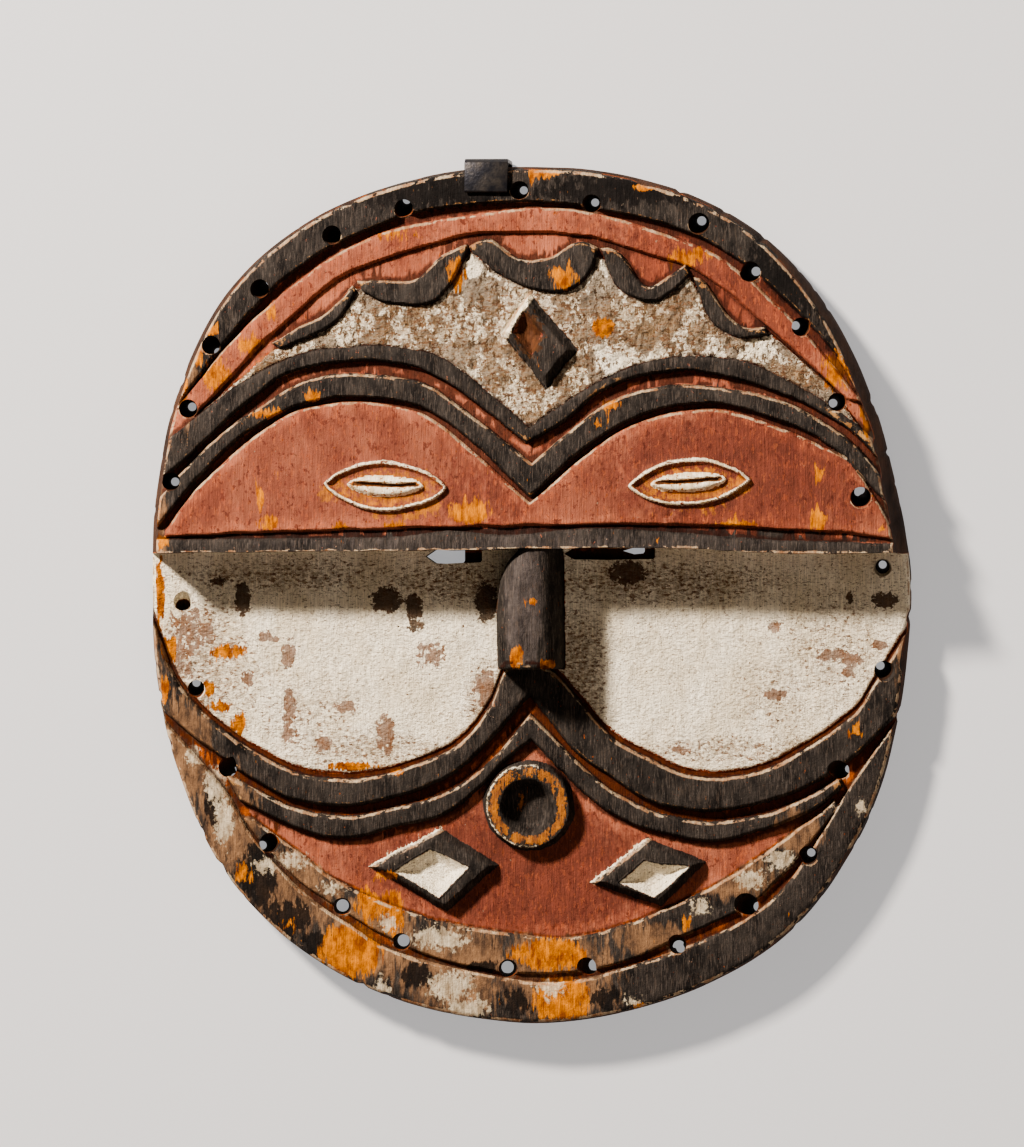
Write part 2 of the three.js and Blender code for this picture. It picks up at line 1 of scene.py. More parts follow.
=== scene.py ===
"""A round carved and painted wooden face mask with a metal clip over its rim, lying face up.

Lengths in this file are in millimetres unless a name says otherwise. +X is the right of the face
as seen, +Y its forehead and +Z out of the carving. Meshes are made in metres.
"""

import logging
import math
from dataclasses import dataclass, field
from enum import Enum

import bmesh
import bpy
import numpy as np
from mathutils import Matrix

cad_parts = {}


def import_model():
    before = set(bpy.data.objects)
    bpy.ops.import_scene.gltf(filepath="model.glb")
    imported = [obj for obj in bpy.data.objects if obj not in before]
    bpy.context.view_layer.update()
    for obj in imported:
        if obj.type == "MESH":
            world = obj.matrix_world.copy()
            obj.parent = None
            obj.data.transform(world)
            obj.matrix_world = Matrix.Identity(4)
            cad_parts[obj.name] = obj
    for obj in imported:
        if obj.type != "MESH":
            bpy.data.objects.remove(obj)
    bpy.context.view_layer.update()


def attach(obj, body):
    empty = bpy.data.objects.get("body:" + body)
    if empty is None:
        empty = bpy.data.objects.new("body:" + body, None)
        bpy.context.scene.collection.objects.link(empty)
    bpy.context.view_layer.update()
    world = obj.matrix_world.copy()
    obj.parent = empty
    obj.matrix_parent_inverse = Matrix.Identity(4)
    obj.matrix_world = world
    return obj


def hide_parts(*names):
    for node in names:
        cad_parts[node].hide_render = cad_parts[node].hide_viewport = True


log = logging.getLogger("mask")

MM = 0.001
# The frame's origin lies under the middle of disc and clip together
SHIFT = (1.55, -1.0)
# The carving was measured in a view from the right, where all but this level stands aside by its height
VIEW_LEAN = math.tan(math.radians(4.5))
VIEW_LEVEL = 25.0

# The disc's hand-hewn outline, turning left from the right side of the face
OUTLINE = [
    (151.6, 0), (146.4, 39.2), (135.9, 78.4), (116.9, 116.9), (85.9, 148.8), (44.7, 166.9), (0, 172.5),
    (-45.2, 168.3), (-88.1, 152.6), (-123.3, 123.3), (-143.9, 83.1), (-153, 41), (-154.7, 5.4),
    (-153, -32.5), (-144.5, -70.5), (-125, -112.6), (-91, -145.6), (-47.6, -165.9), (6, -172.6),
    (58.7, -161.3), (100.1, -137.8), (129, -100.8), (144.6, -58.4),
]
# Lines of the carving, each from the left of the face to the right
RIM_INNER = [
    (-124, 99), (-114.5, 111), (-100.5, 125), (-84.5, 137), (-64.5, 146.5), (-40.5, 154), (-0.5, 157),
    (27.5, 154), (51.5, 148.5), (71.5, 140.5), (93.5, 125), (119.5, 98), (134.5, 71), (143, 50),
]
RED_OUTER = [
    (-138, 81), (-122.5, 100), (-108.5, 113.5), (-92.5, 127), (-76.5, 137.5), (-52.5, 147.5),
    (-0.5, 155), (27.5, 152.5), (51.5, 145), (75.5, 135), (103.5, 111), (127.5, 83),
]
RED_INNER = [
    (-130, 77), (-108.5, 100), (-96.5, 111), (-84.5, 121.5), (-68.5, 131), (-28.5, 143.5),
    (-0.5, 145), (23.5, 143), (47.5, 135.5), (67.5, 128.5), (95.5, 106), (120, 83.5),
]
FOREHEAD_TOP = [
    (-131.5, 74.5), (-103, 98.5), (-78, 112), (-71, 123), (-50, 121), (-29, 132), (-25, 138), (-6, 129),
    (10, 128), (26, 137), (34, 130), (48, 120), (63, 128), (71, 115), (84, 105), (95, 105), (120, 83),
]
CRESCENTS = [
    ([(-104, 101), (-92.5, 108), (-82.5, 113), (-72, 124)],
     [(-100.5, 98.5), (-86.5, 104), (-76.5, 111), (-70, 122)]),
    ([(-70, 125.5), (-60.5, 126), (-46.5, 126.5), (-36.5, 136), (-26, 140.5)],
     [(-68.5, 122), (-58.5, 117), (-40.5, 116.5), (-32.5, 124), (-25.5, 138)]),
    ([(-25.5, 139.5), (-16.5, 142.5), (-4.5, 134.5), (7.5, 135.5), (18.5, 141.5), (26.5, 139)],
     [(-24, 137), (-12.5, 128), (3.5, 121), (15.5, 122), (23.5, 129), (26.5, 137)]),
    ([(27.5, 139), (35.5, 137), (45.5, 123.5), (54.5, 127.5), (61.5, 132)],
     [(28.5, 136), (34.5, 123), (48, 116.5), (59.5, 123), (64, 128.5)]),
    ([(64.5, 127), (69.5, 125), (77.5, 113), (85.5, 107), (93.5, 107.5)],
     [(65.5, 124.5), (72, 109), (83.5, 102.5), (95.5, 103.5)]),
]
# Each brow edge is a left and a right run that meet in a sharp V over the nose
UPPER_BROW_TOP = [
    [(-148.5, 60.5), (-116.5, 85), (-92.5, 96.5), (-72.5, 99.5), (-52.5, 99), (-32.5, 93), (-1, 67)],
    [(-1, 67), (15.5, 78.5), (35.5, 89.5), (55.5, 95), (73.5, 95), (91.5, 91), (122, 74), (142, 57)],
]
UPPER_BROW_FOOT = [
    [(-148.5, 45), (-112.5, 78), (-96.5, 88.5), (-72.5, 93.5), (-52.5, 92), (-32.5, 84), (-2, 60.5)],
    [(-2, 60.5), (11.5, 68), (27.5, 80.5), (43.5, 87), (67.5, 89), (99.5, 80.5), (127.5, 65),
     (146, 44.5)],
]
LOWER_BROW_TOP = [
    [(-149.5, 39), (-128, 62), (-100.5, 81), (-86.5, 87), (-72.5, 89), (-52.5, 87), (-36.5, 81),
     (0, 53)],
    [(0, 53), (21.5, 71), (35.5, 79.5), (51.5, 83.5), (67.5, 84), (99.5, 78), (127.5, 61), (146.5, 38)],
]
LOWER_BROW_FOOT = [
    [(-150, 27), (-124.5, 56), (-102.5, 71.5), (-86.5, 77), (-72.5, 79), (-52.5, 77), (-32.5, 68),
     (-0.4, 38.6)],
    [(-0.4, 38.6), (23.5, 60), (47.5, 73), (67.5, 76), (83.5, 74.5), (115.5, 61.5), (139.5, 38),
     (147.5, 24.5)],
]
EYE_FIELD_TOP = [
    [(-147.5, 25), (-132.5, 45), (-102.5, 70), (-84.5, 76), (-68.5, 77.5), (-52.5, 75), (-36.5, 68.5),
     (-0.6, 37.2)],
    [(-0.6, 37.2), (27.5, 61), (49.5, 71.5), (67.5, 74), (83.5, 72.5), (119.5, 58), (131.5, 48),
     (144.5, 24.5)],
]
EYE_FIELD_FOOT = [(-147.5, 24), (-92.5, 26.5), (-12.5, 28.5), (47.5, 29), (107.5, 27), (144.5, 23.5)]
BAR_TOP = [
    (-150, 22.5), (-80.5, 23), (-52.5, 23.5), (-32.5, 26), (-8.5, 24), (23.5, 27), (59.5, 25),
    (99.5, 22), (149.5, 21),
]
BAR_FOOT = [(-150, 17), (-52.5, 18), (-12.5, 18.5), (27.5, 19), (59.5, 19), (99.5, 17), (150, 17)]
JAW_TOP = [
    [(-150, -16.5), (-140.5, -38), (-120.5, -57), (-96.5, -70.5), (-80.5, -73.5), (-64.5, -73),
     (-44.5, -67), (-28.5, -59), (-16.5, -44), (-10.5, -30), (-3, -26)],
    [(-3, -26), (8, -30), (17.5, -40), (31.5, -56), (47.5, -65), (59.5, -70.5), (75.5, -73), (99.5, -67),
     (127.5, -49), (137.5, -35), (150.5, -15)],
]
JAW_FOOT = [
    [(-147.5, -48), (-126.5, -65), (-100.5, -81), (-80.5, -85), (-60.5, -83), (-36.5, -75), (-22.5, -65),
     (-0.5, -41)],
    [(-0.5, -41), (17.5, -63), (31.5, -73), (47.5, -83), (71.5, -87), (95.5, -83), (123.5, -70),
     (148, -47)],
]
LIP_TOP = [
    [(-124, -71), (-96.5, -85), (-72.5, -88.5), (-52.5, -84.5), (-36.5, -80), (-24.5, -73), (-12.5, -62),
     (-0.5, -47.5)],
    [(-0.5, -47.5), (25.5, -73), (39.5, -82), (53.5, -87.5), (71.5, -90.5), (91.5, -88), (107.5, -82),
     (123.5, -73)],
]
LIP_FOOT = [
    [(-118, -83), (-92.5, -95), (-72.5, -98), (-52.5, -93), (-36.5, -89), (-22.5, -80), (-10.5, -67),
     (0, -59)],
    [(0, -59), (23.5, -82), (39.5, -91.5), (55.5, -96), (71.5, -99), (91.5, -95), (111.5, -87),
     (125.5, -77)],
]
CHIN_BAND_TOP = [
    (-112.5, -90), (-92.5, -104.5), (-76.5, -116), (-60.5, -123), (-36.5, -131), (3.5, -137),
    (19.5, -136.5), (43.5, -130), (75.5, -115), (99.5, -99), (121.5, -82),
]
CHIN_BAND_FOOT = [
    (-116.5, -90), (-105.5, -104.5), (-88.5, -119), (-68.5, -132), (-44.5, -144), (-16.5, -151),
    (3.5, -152), (31.5, -149), (51.5, -141), (75.5, -130.5), (95.5, -118), (123.5, -85),
]
LOWER_RIM_TOP = [
    (-146, -53), (-132.5, -68), (-122.5, -80), (-112.5, -97), (-92.5, -119), (-72.5, -133), (-52.5, -144),
    (-4.5, -154.5), (19.5, -154), (51.5, -144.5), (83.5, -131), (103.5, -114), (129.5, -74),
    (147.5, -48.5),
]
FOREHEAD_LOZENGE = (
    [(-12.5, 105), (-2, 121.5), (18.5, 98), (6, 82)],
    [(-8, 105), (-3, 114), (5.5, 104), (0.5, 94.5)],
)
CHEEK_LOZENGES = [
    ([(-66, -109), (-36.5, -93.5), (-13, -108.5), (-34, -127.5)],
     [(-55, -111), (-40.5, -102), (-25, -109), (-36.5, -121.5)]),
    ([(23.5, -115.5), (47, -97), (70, -107), (52, -125)],
     [(35.5, -115.5), (45.5, -106.5), (64, -109), (49.5, -121)]),
]
# Nose stations from its tip up to the bar: place along Y, left and right edge, height over the cheek
NOSE_STATIONS = [
    (-29.5, -12.9, 13.2, 26.8), (-18, -13.2, 13.2, 27.2), (-5, -13.4, 13, 27.2), (6, -11.8, 12.9, 27),
    (13, -9, 12.8, 26.8), (19, -3.5, 12.4, 26.6),
]
# Fixing holes: place, radius, and where the far end's middle shows in the view, from the near end's
RIM_HOLES = [
    (-51.5, 155, 3.6, 0.9, 4.3), (-80, 144.5, 3.6, 4.8, 2.7), (-109, 123, 3.6, 3.1, 3.5),
    (-128.5, 100, 3.6, 1.7, -2.1), (-137.5, 74.5, 3.8, 0.4, 1.3), (-144, 45.5, 3.8, 0.3, 0),
    (-141.5, -3, 3.6, 0, -5.4), (-136, -38, 3.6, -0.6, 2.2), (-123.5, -69.5, 3.8, 2.7, -4.9),
    (-106.5, -100, 3.8, -3.4, -1.6), (-77, -125.5, 3.6, 0.2, 0.2), (-53, -139.5, 3.6, 1.3, 0.2),
    (-10, -150, 3.7, -0.3, 0), (22, -149, 3.6, 5.6, 0), (58, -140, 3.7, 1.7, -2.6),
    (86, -124, 4.3, 5.2, -1.6), (110.5, -104, 3.7, 1.8, 0.3), (123, -70, 3.6, 4.6, 0),
    (140.5, -30, 3.8, -0.6, 1.6), (140, 11, 3.6, 0.9, 1.1), (132, 39, 4.1, 1.5, 3.2),
    (122.5, 77, 3.7, -0.3, 0), (108, 107, 3.8, -1.3, 1.2), (87.5, 129, 4.1, 3.2, 1),
    (67, 148.5, 4.1, 1.6, 1.9), (24, 156.5, 3.6, 1.6, 1.4), (-5, 162, 3.6, 1.7, 0.9),
]
# Eye slits, each a groove and the stretch of it cut right through: left and right end, low and high edge
EYE_GROOVES = [(-43.5, -20.5, 12.8, 18), (12.5, 49, 14.2, 18.8)]
EYE_CUTS = [(-43.5, -27.8, 12.6, 18), (35.6, 44.6, 16.4, 18.8)]

# The least that a distance inside an area is, so that all places far outside count the same
OUTSIDE = -12.0

Line = list[tuple[float, float]]
Pairs = tuple[tuple[float, float], ...]
Array = np.ndarray


class Paint(Enum):
    """The pigments, by the name of the attribute that says how far inside each a point lies."""

    SOOT = "soot_paint"
    RED = "red_paint"
    CHALK = "chalk_paint"


def linear(code: str) -> tuple[float, float, float, float]:
    """Turns an sRGB hex value such as "#a5553f" to a linear colour.

    Args:
        code: the hex value.

    Returns:
        Red, green, blue and an alpha of one.
    """
    parts = [int(code[i:i + 2], 16) / 255 for i in (1, 3, 5)]
    return (*[p / 12.92 if p <= 0.04045 else ((p + 0.055) / 1.055) ** 2.4 for p in parts], 1.0)


def spline(p0: Array, p1: Array, p2: Array, p3: Array, t: Array) -> Array:
    """Points at shares t of the way from p1 to p2, on a smooth curve that also heeds p0 and p3."""
    v0, v1 = (p2 - p0) / 2, (p3 - p1) / 2
    return (2 * p1 - 2 * p2 + v0 + v1) * t**3 + (-3 * p1 + 3 * p2 - 2 * v0 - v1) * t**2 + v0 * t + p1


def smooth(points: Line, per_point: int = 4) -> Array:
    """Draws a smooth line through measured points.

    Args:
        points: the points it passes through.
        per_point: how many points of the result stand for each of them.

    Returns:
        The points of the smooth line, one row each.
    """
    given = np.array(points, float)
    last = len(given) - 1
    place = np.linspace(0, last, len(given) * per_point)
    at = np.minimum(place.astype(int), last - 1)
    before, after = given[np.maximum(at - 1, 0)], given[np.minimum(at + 2, last)]
    return spline(before, given[at], given[at + 1], after, (place - at)[:, None])


def cornered(runs: list[Line]) -> Array:
    """Joins a left and a right smooth run at their shared corner."""
    return np.concatenate([smooth(runs[0]), smooth(runs[1])[1:]])


def beyond(line: Array, reach: float) -> Array:
    """Draws both ends of a line out, straight on, by a reach."""
    ends = []
    for near, end in ((line[1], line[0]), (line[-2], line[-1])):
        way = end - near
        ends.append(end + way * reach / np.linalg.norm(way))
    return np.concatenate([[ends[0]], line, [ends[1]]])


def between(upper: Array, lower: Array) -> Array:
    """The area between two lines that both run from left to right."""
    return np.concatenate([upper, lower[::-1]])


def depth_inside(x: Array, y: Array, area: Array | Line, reach: float = -OUTSIDE) -> Array:
    """How far inside an area each point lies.

    Args:
        x: the points' places along X.
        y: the points' places along Y.
        area: the corners of the area, as a list or an array.
        reach: the distance outside the area past which no more is told apart.

    Returns:
        The distance to the area's edge, negative outside it.
    """
    area = np.asarray(area, float)
    result = np.full(x.shape, -reach)
    low, high = area.min(0) - reach, area.max(0) + reach
    near = (x > low[0]) & (x < high[0]) & (y > low[1]) & (y < high[1])
    px, py = x[near], y[near]
    best = np.full(px.shape, reach * reach * 100)
    inside = np.zeros(px.shape, bool)
    for (x0, y0), (x1, y1) in zip(area, np.roll(area, -1, 0)):
        run, rise = x1 - x0, y1 - y0
        length = run * run + rise * rise
        if length < 1e-9:
            continue
        t = np.clip(((px - x0) * run + (py - y0) * rise) / length, 0, 1)
        best = np.minimum(best, (px - x0 - t * run) ** 2 + (py - y0 - t * rise) ** 2)
        if y0 != y1:
            inside ^= ((y0 > py) != (y1 > py)) & (px < run * (py - y0) / rise + x0)
    result[near] = np.where(inside, 1, -1) * np.sqrt(best)
    return np.maximum(result, -reach)


def distance_to(x: Array, y: Array, line: Array | Line, reach: float = 6.0) -> Array:
    """The distance from each point to an open line, no more than a reach."""
    line = np.asarray(line, float)
    result = np.full(x.shape, reach)
    low, high = line.min(0) - reach, line.max(0) + reach
    near = (x > low[0]) & (x < high[0]) & (y > low[1]) & (y < high[1])
    px, py = x[near], y[near]
    best = np.full(px.shape, reach * reach)
    for (x0, y0), (x1, y1) in zip(line[:-1], line[1:]):
        run, rise = x1 - x0, y1 - y0
        t = np.clip(((px - x0) * run + (py - y0) * rise) / max(run * run + rise * rise, 1e-9), 0, 1)
        best = np.minimum(best, (px - x0 - t * run) ** 2 + (py - y0 - t * rise) ** 2)
    result[near] = np.sqrt(best)
    return result


def ease(value: Array, low: float, high: float) -> Array:
    """A smooth step from 0 at low to 1 at high."""
    t = np.clip((value - low) / (high - low), 0, 1)
    return t * t * (3 - 2 * t)


@dataclass(frozen=True)
class HandWork:
    """Seeded unevenness, as hands and tools leave it."""

    seed: int
    cells: int = 256

    def at(self, x: Array, y: Array, size: float, stretch: float = 1.0) -> Array:
        """Smooth noise.

        Args:
            x: places along X.
            y: places along Y.
            size: the width of one bump.
            stretch: how many times longer it is along Y.

        Returns:
            Values from -1 to 1.
        """
        lattice = np.random.default_rng(self.seed).uniform(-1, 1, (self.cells, self.cells))
        u, v = x / size + 37.3, y / (size * stretch) + 71.9
        i, j = np.floor(u).astype(int), np.floor(v).astype(int)
        fu, fv = u - i, v - j
        fu, fv = fu * fu * (3 - 2 * fu), fv * fv * (3 - 2 * fv)
        i0, i1, j0, j1 = i % self.cells, (i + 1) % self.cells, j % self.cells, (j + 1) % self.cells
        low = lattice[i0, j0] * (1 - fu) + lattice[i1, j0] * fu
        high = lattice[i0, j1] * (1 - fu) + lattice[i1, j1] * fu
        return low * (1 - fv) + high * fv


def make_object(name: str, points: Array, quads: Array, triangles: Array) -> bpy.types.Object:
    """Makes an object of a mesh.

    Args:
        name: its name.
        points: corners in millimetres, one row each.
        quads: faces of four corners.
        triangles: faces of three corners.

    Returns:
        The object, in the scene.
    """
    mesh = bpy.data.meshes.new(name)
    corners = np.concatenate([quads.ravel(), triangles.ravel()]).astype(np.int32)
    sizes = np.concatenate([np.full(len(quads), 4), np.full(len(triangles), 3)])
    mesh.vertices.add(len(points))
    mesh.vertices.foreach_set("co", (np.asarray(points, float) * MM).astype(np.float32).ravel())
    mesh.loops.add(len(corners))
    mesh.loops.foreach_set("vertex_index", corners)
    mesh.polygons.add(len(sizes))
    mesh.polygons.foreach_set("loop_start", (np.cumsum(sizes) - sizes).astype(np.int32))
    mesh.update(calc_edges=True)
    mesh.validate()
    made = bpy.data.objects.new(name, mesh)
    bpy.context.scene.collection.objects.link(made)
    return made


def grid_solid(name: str, rows: Array, floor: float) -> bpy.types.Object:
    """Closes the space under a grid of points.

    Args:
        name: the object's name.
        rows: the grid, as rows from low to high Y, of columns from low to high X.
        floor: the height of its flat underside.

    Returns:
        The closed solid.
    """
    count, width = rows.shape[:2]
    index = np.arange(count * width).reshape(count, width)
    top = np.stack([index[:-1, :-1], index[:-1, 1:], index[1:, 1:], index[1:, :-1]], -1).reshape(-1, 4)
    loop = np.concatenate([index[0, :-1], index[:-1, -1], index[-1, :0:-1], index[:0:-1, 0]])
    points = rows.reshape(-1, 3)
    under = points[loop].copy()
    under[:, 2] = floor
    low = len(points) + np.arange(len(loop))
    skirt = np.stack([low, np.roll(low, -1), np.roll(loop, -1), loop], -1)
    middle = len(points) + len(loop)
    fan = np.stack([np.full(len(loop), middle), np.roll(low, -1), low], -1)
    centre = np.append(under[:, :2].mean(0), floor)
    return make_object(name, np.concatenate([points, under, [centre]]), np.concatenate([top, skirt]), fan)


def loft(name: str, rings: Array) -> bpy.types.Object:
    """Closes a solid through rings of equal length, listed from low to high, each turning left."""
    count, length = rings.shape[:2]
    index = np.arange(count * length).reshape(count, length)
    after = np.roll(index, -1, 1)
    sides = np.stack([index[:-1], after[:-1], after[1:], index[1:]], -1).reshape(-1, 4)
    low, high = count * length, count * length + 1
    foot = np.stack([np.full(length, low), after[0], index[0]], -1)
    head = np.stack([np.full(length, high), index[-1], after[-1]], -1)
    points = np.concatenate([rings.reshape(-1, 3), [rings[0].mean(0), rings[-1].mean(0)]])
    return make_object(name, points, sides, np.concatenate([foot, head]))


def settled(made: bpy.types.Object) -> None:
    """Applies an object's modifiers to its mesh and removes them."""
    graph = bpy.context.evaluated_depsgraph_get()
    mesh = bpy.data.meshes.new_from_object(made.evaluated_get(graph))
    made.modifiers.clear()
    old = made.data
    made.data = mesh
    bpy.data.meshes.remove(old)


def combine(body: bpy.types.Object, tool: bpy.types.Object, operation: str) -> None:
    """Joins, cuts or trims a solid by another, which is then removed.

    Args:
        body: the solid that changes.
        tool: the solid that it is changed by.
        operation: UNION, DIFFERENCE or INTERSECT.
    """
    modifier = body.modifiers.new(tool.name, "BOOLEAN")
    modifier.operation = operation
    modifier.solver = "MANIFOLD"
    modifier.object = tool
    settled(body)
    log.info("%s %s: %d faces", operation.lower(), tool.name, len(body.data.polygons))
    bpy.data.meshes.remove(tool.data)


def add_node(tree: bpy.types.NodeTree, kind: str, inputs: dict | None = None, **settings) -> bpy.types.Node:
    """Adds a node to a tree.

    Args:
        tree: the tree.
        kind: the node's type name.
        inputs: for each input, by name or number, a value, a socket to link from, or a node whose
            first socket is linked.
        **settings: the node's own properties.

    Returns:
        The node.
    """
    made = tree.nodes.new(kind)
    for name, value in settings.items():
        setattr(made, name, value)
    for key, value in (inputs or {}).items():
        if isinstance(value, bpy.types.Node):
            value = value.outputs[0]
        if isinstance(value, bpy.types.NodeSocket):
            tree.links.new(value, made.inputs[key])
        else:
            made.inputs[key].default_value = value
    return made


def new_material(name: str) -> tuple[bpy.types.Material, bpy.types.NodeTree, bpy.types.NodeSocket]:
    """Makes an empty material.

    Args:
        name: its name.

    Returns:
        The material, its tree and the Object coordinates in it.
    """
    material = bpy.data.materials.new(name)
    material.use_nodes = True
    tree = material.node_tree
    tree.nodes.clear()
    return material, tree, add_node(tree, "ShaderNodeTexCoord").outputs["Object"]


def place_and_dress(made: bpy.types.Object, finish: bpy.types.Material, sharp_from: float) -> None:
    """Moves a finished mesh into the frame and dresses it.

    Args:
        made: the piece.
        finish: its material.
        sharp_from: the angle in degrees from which an edge shows sharp.
    """
    made.data.transform(Matrix.Translation((SHIFT[0] * MM, SHIFT[1] * MM, 0)))
    made.data.materials.clear()
    made.data.materials.append(finish)
    made.data.shade_smooth()
    made.data.set_sharp_from_angle(angle=math.radians(sharp_from))


@dataclass(frozen=True)
class Disc:
    """The round board that the mask is carved from."""

    steps: int = 36
    # How far the side wall stands inside the outline, by height
    wall: Pairs = (
        (0, 2.5), (1.2, 1.3), (4, 0), (10, 0.2), (16, 0.7), (20, 1.7), (24, 2.9), (29, 3.9), (34, 4.6),
        (42, 5.4), (50, 6),
    )
    chips: HandWork = HandWork(11)
    # Depth that the adze took off everywhere, how far that varies, and the depth of the nicks
    hewn: float = 0.3
    uneven: float = 0.2
    nick: float = 0.9

    def outline(self, inset: float) -> Array:
        """The disc's outline, drawn in by an inset."""
        given = np.array(OUTLINE, float)
        four = (np.repeat(np.roll(given, turn, 0), self.steps, 0) for turn in (1, 0, -1, -2))
        ring = spline(*four, np.tile(np.arange(self.steps) / self.steps, len(given))[:, None])
        return ring * (1 - inset / np.linalg.norm(ring, axis=1))[:, None]

    def edge_distance(self, x: Array, y: Array, height: Array) -> Array:
        """About how far inside the side wall each point at a height lies."""
        ring = self.outline(0)
        turns = np.arctan2(ring[:, 1], ring[:, 0])
        order = np.argsort(turns)
        far = np.linalg.norm(ring[order], axis=1)
        edge = np.interp(np.arctan2(y, x), turns[order], far, period=2 * np.pi)
        levels, insets = np.array(self.wall, float).T
        return edge - np.interp(height, levels, insets) - np.hypot(x, y)

    def board(self) -> bpy.types.Object:
        """The board with its hand-hewn, chipped side wall."""
        rings = []
        for height, inset in self.wall:
            ring = self.outline(inset)
            turn = np.arange(len(ring)) * 1.3
            taken = self.hewn + self.uneven * self.chips.at(turn, np.full(len(ring), height * 0.6), 14)
            spot = self.chips.at(turn, np.full(len(ring), 90 + height * 0.3), 5)
            taken = taken + self.nick * ease(spot, 0.45, 0.9)
            inward = ring / np.linalg.norm(ring, axis=1)[:, None] * taken[:, None]
            rings.append(np.column_stack([ring - inward, np.full(len(ring), height)]))
        return loft("board", np.stack(rings))


@dataclass(frozen=True)
class Zone:
    """A raised area of the carving."""

    area: Array
    level: float
    shoulder: float
    paint: Paint


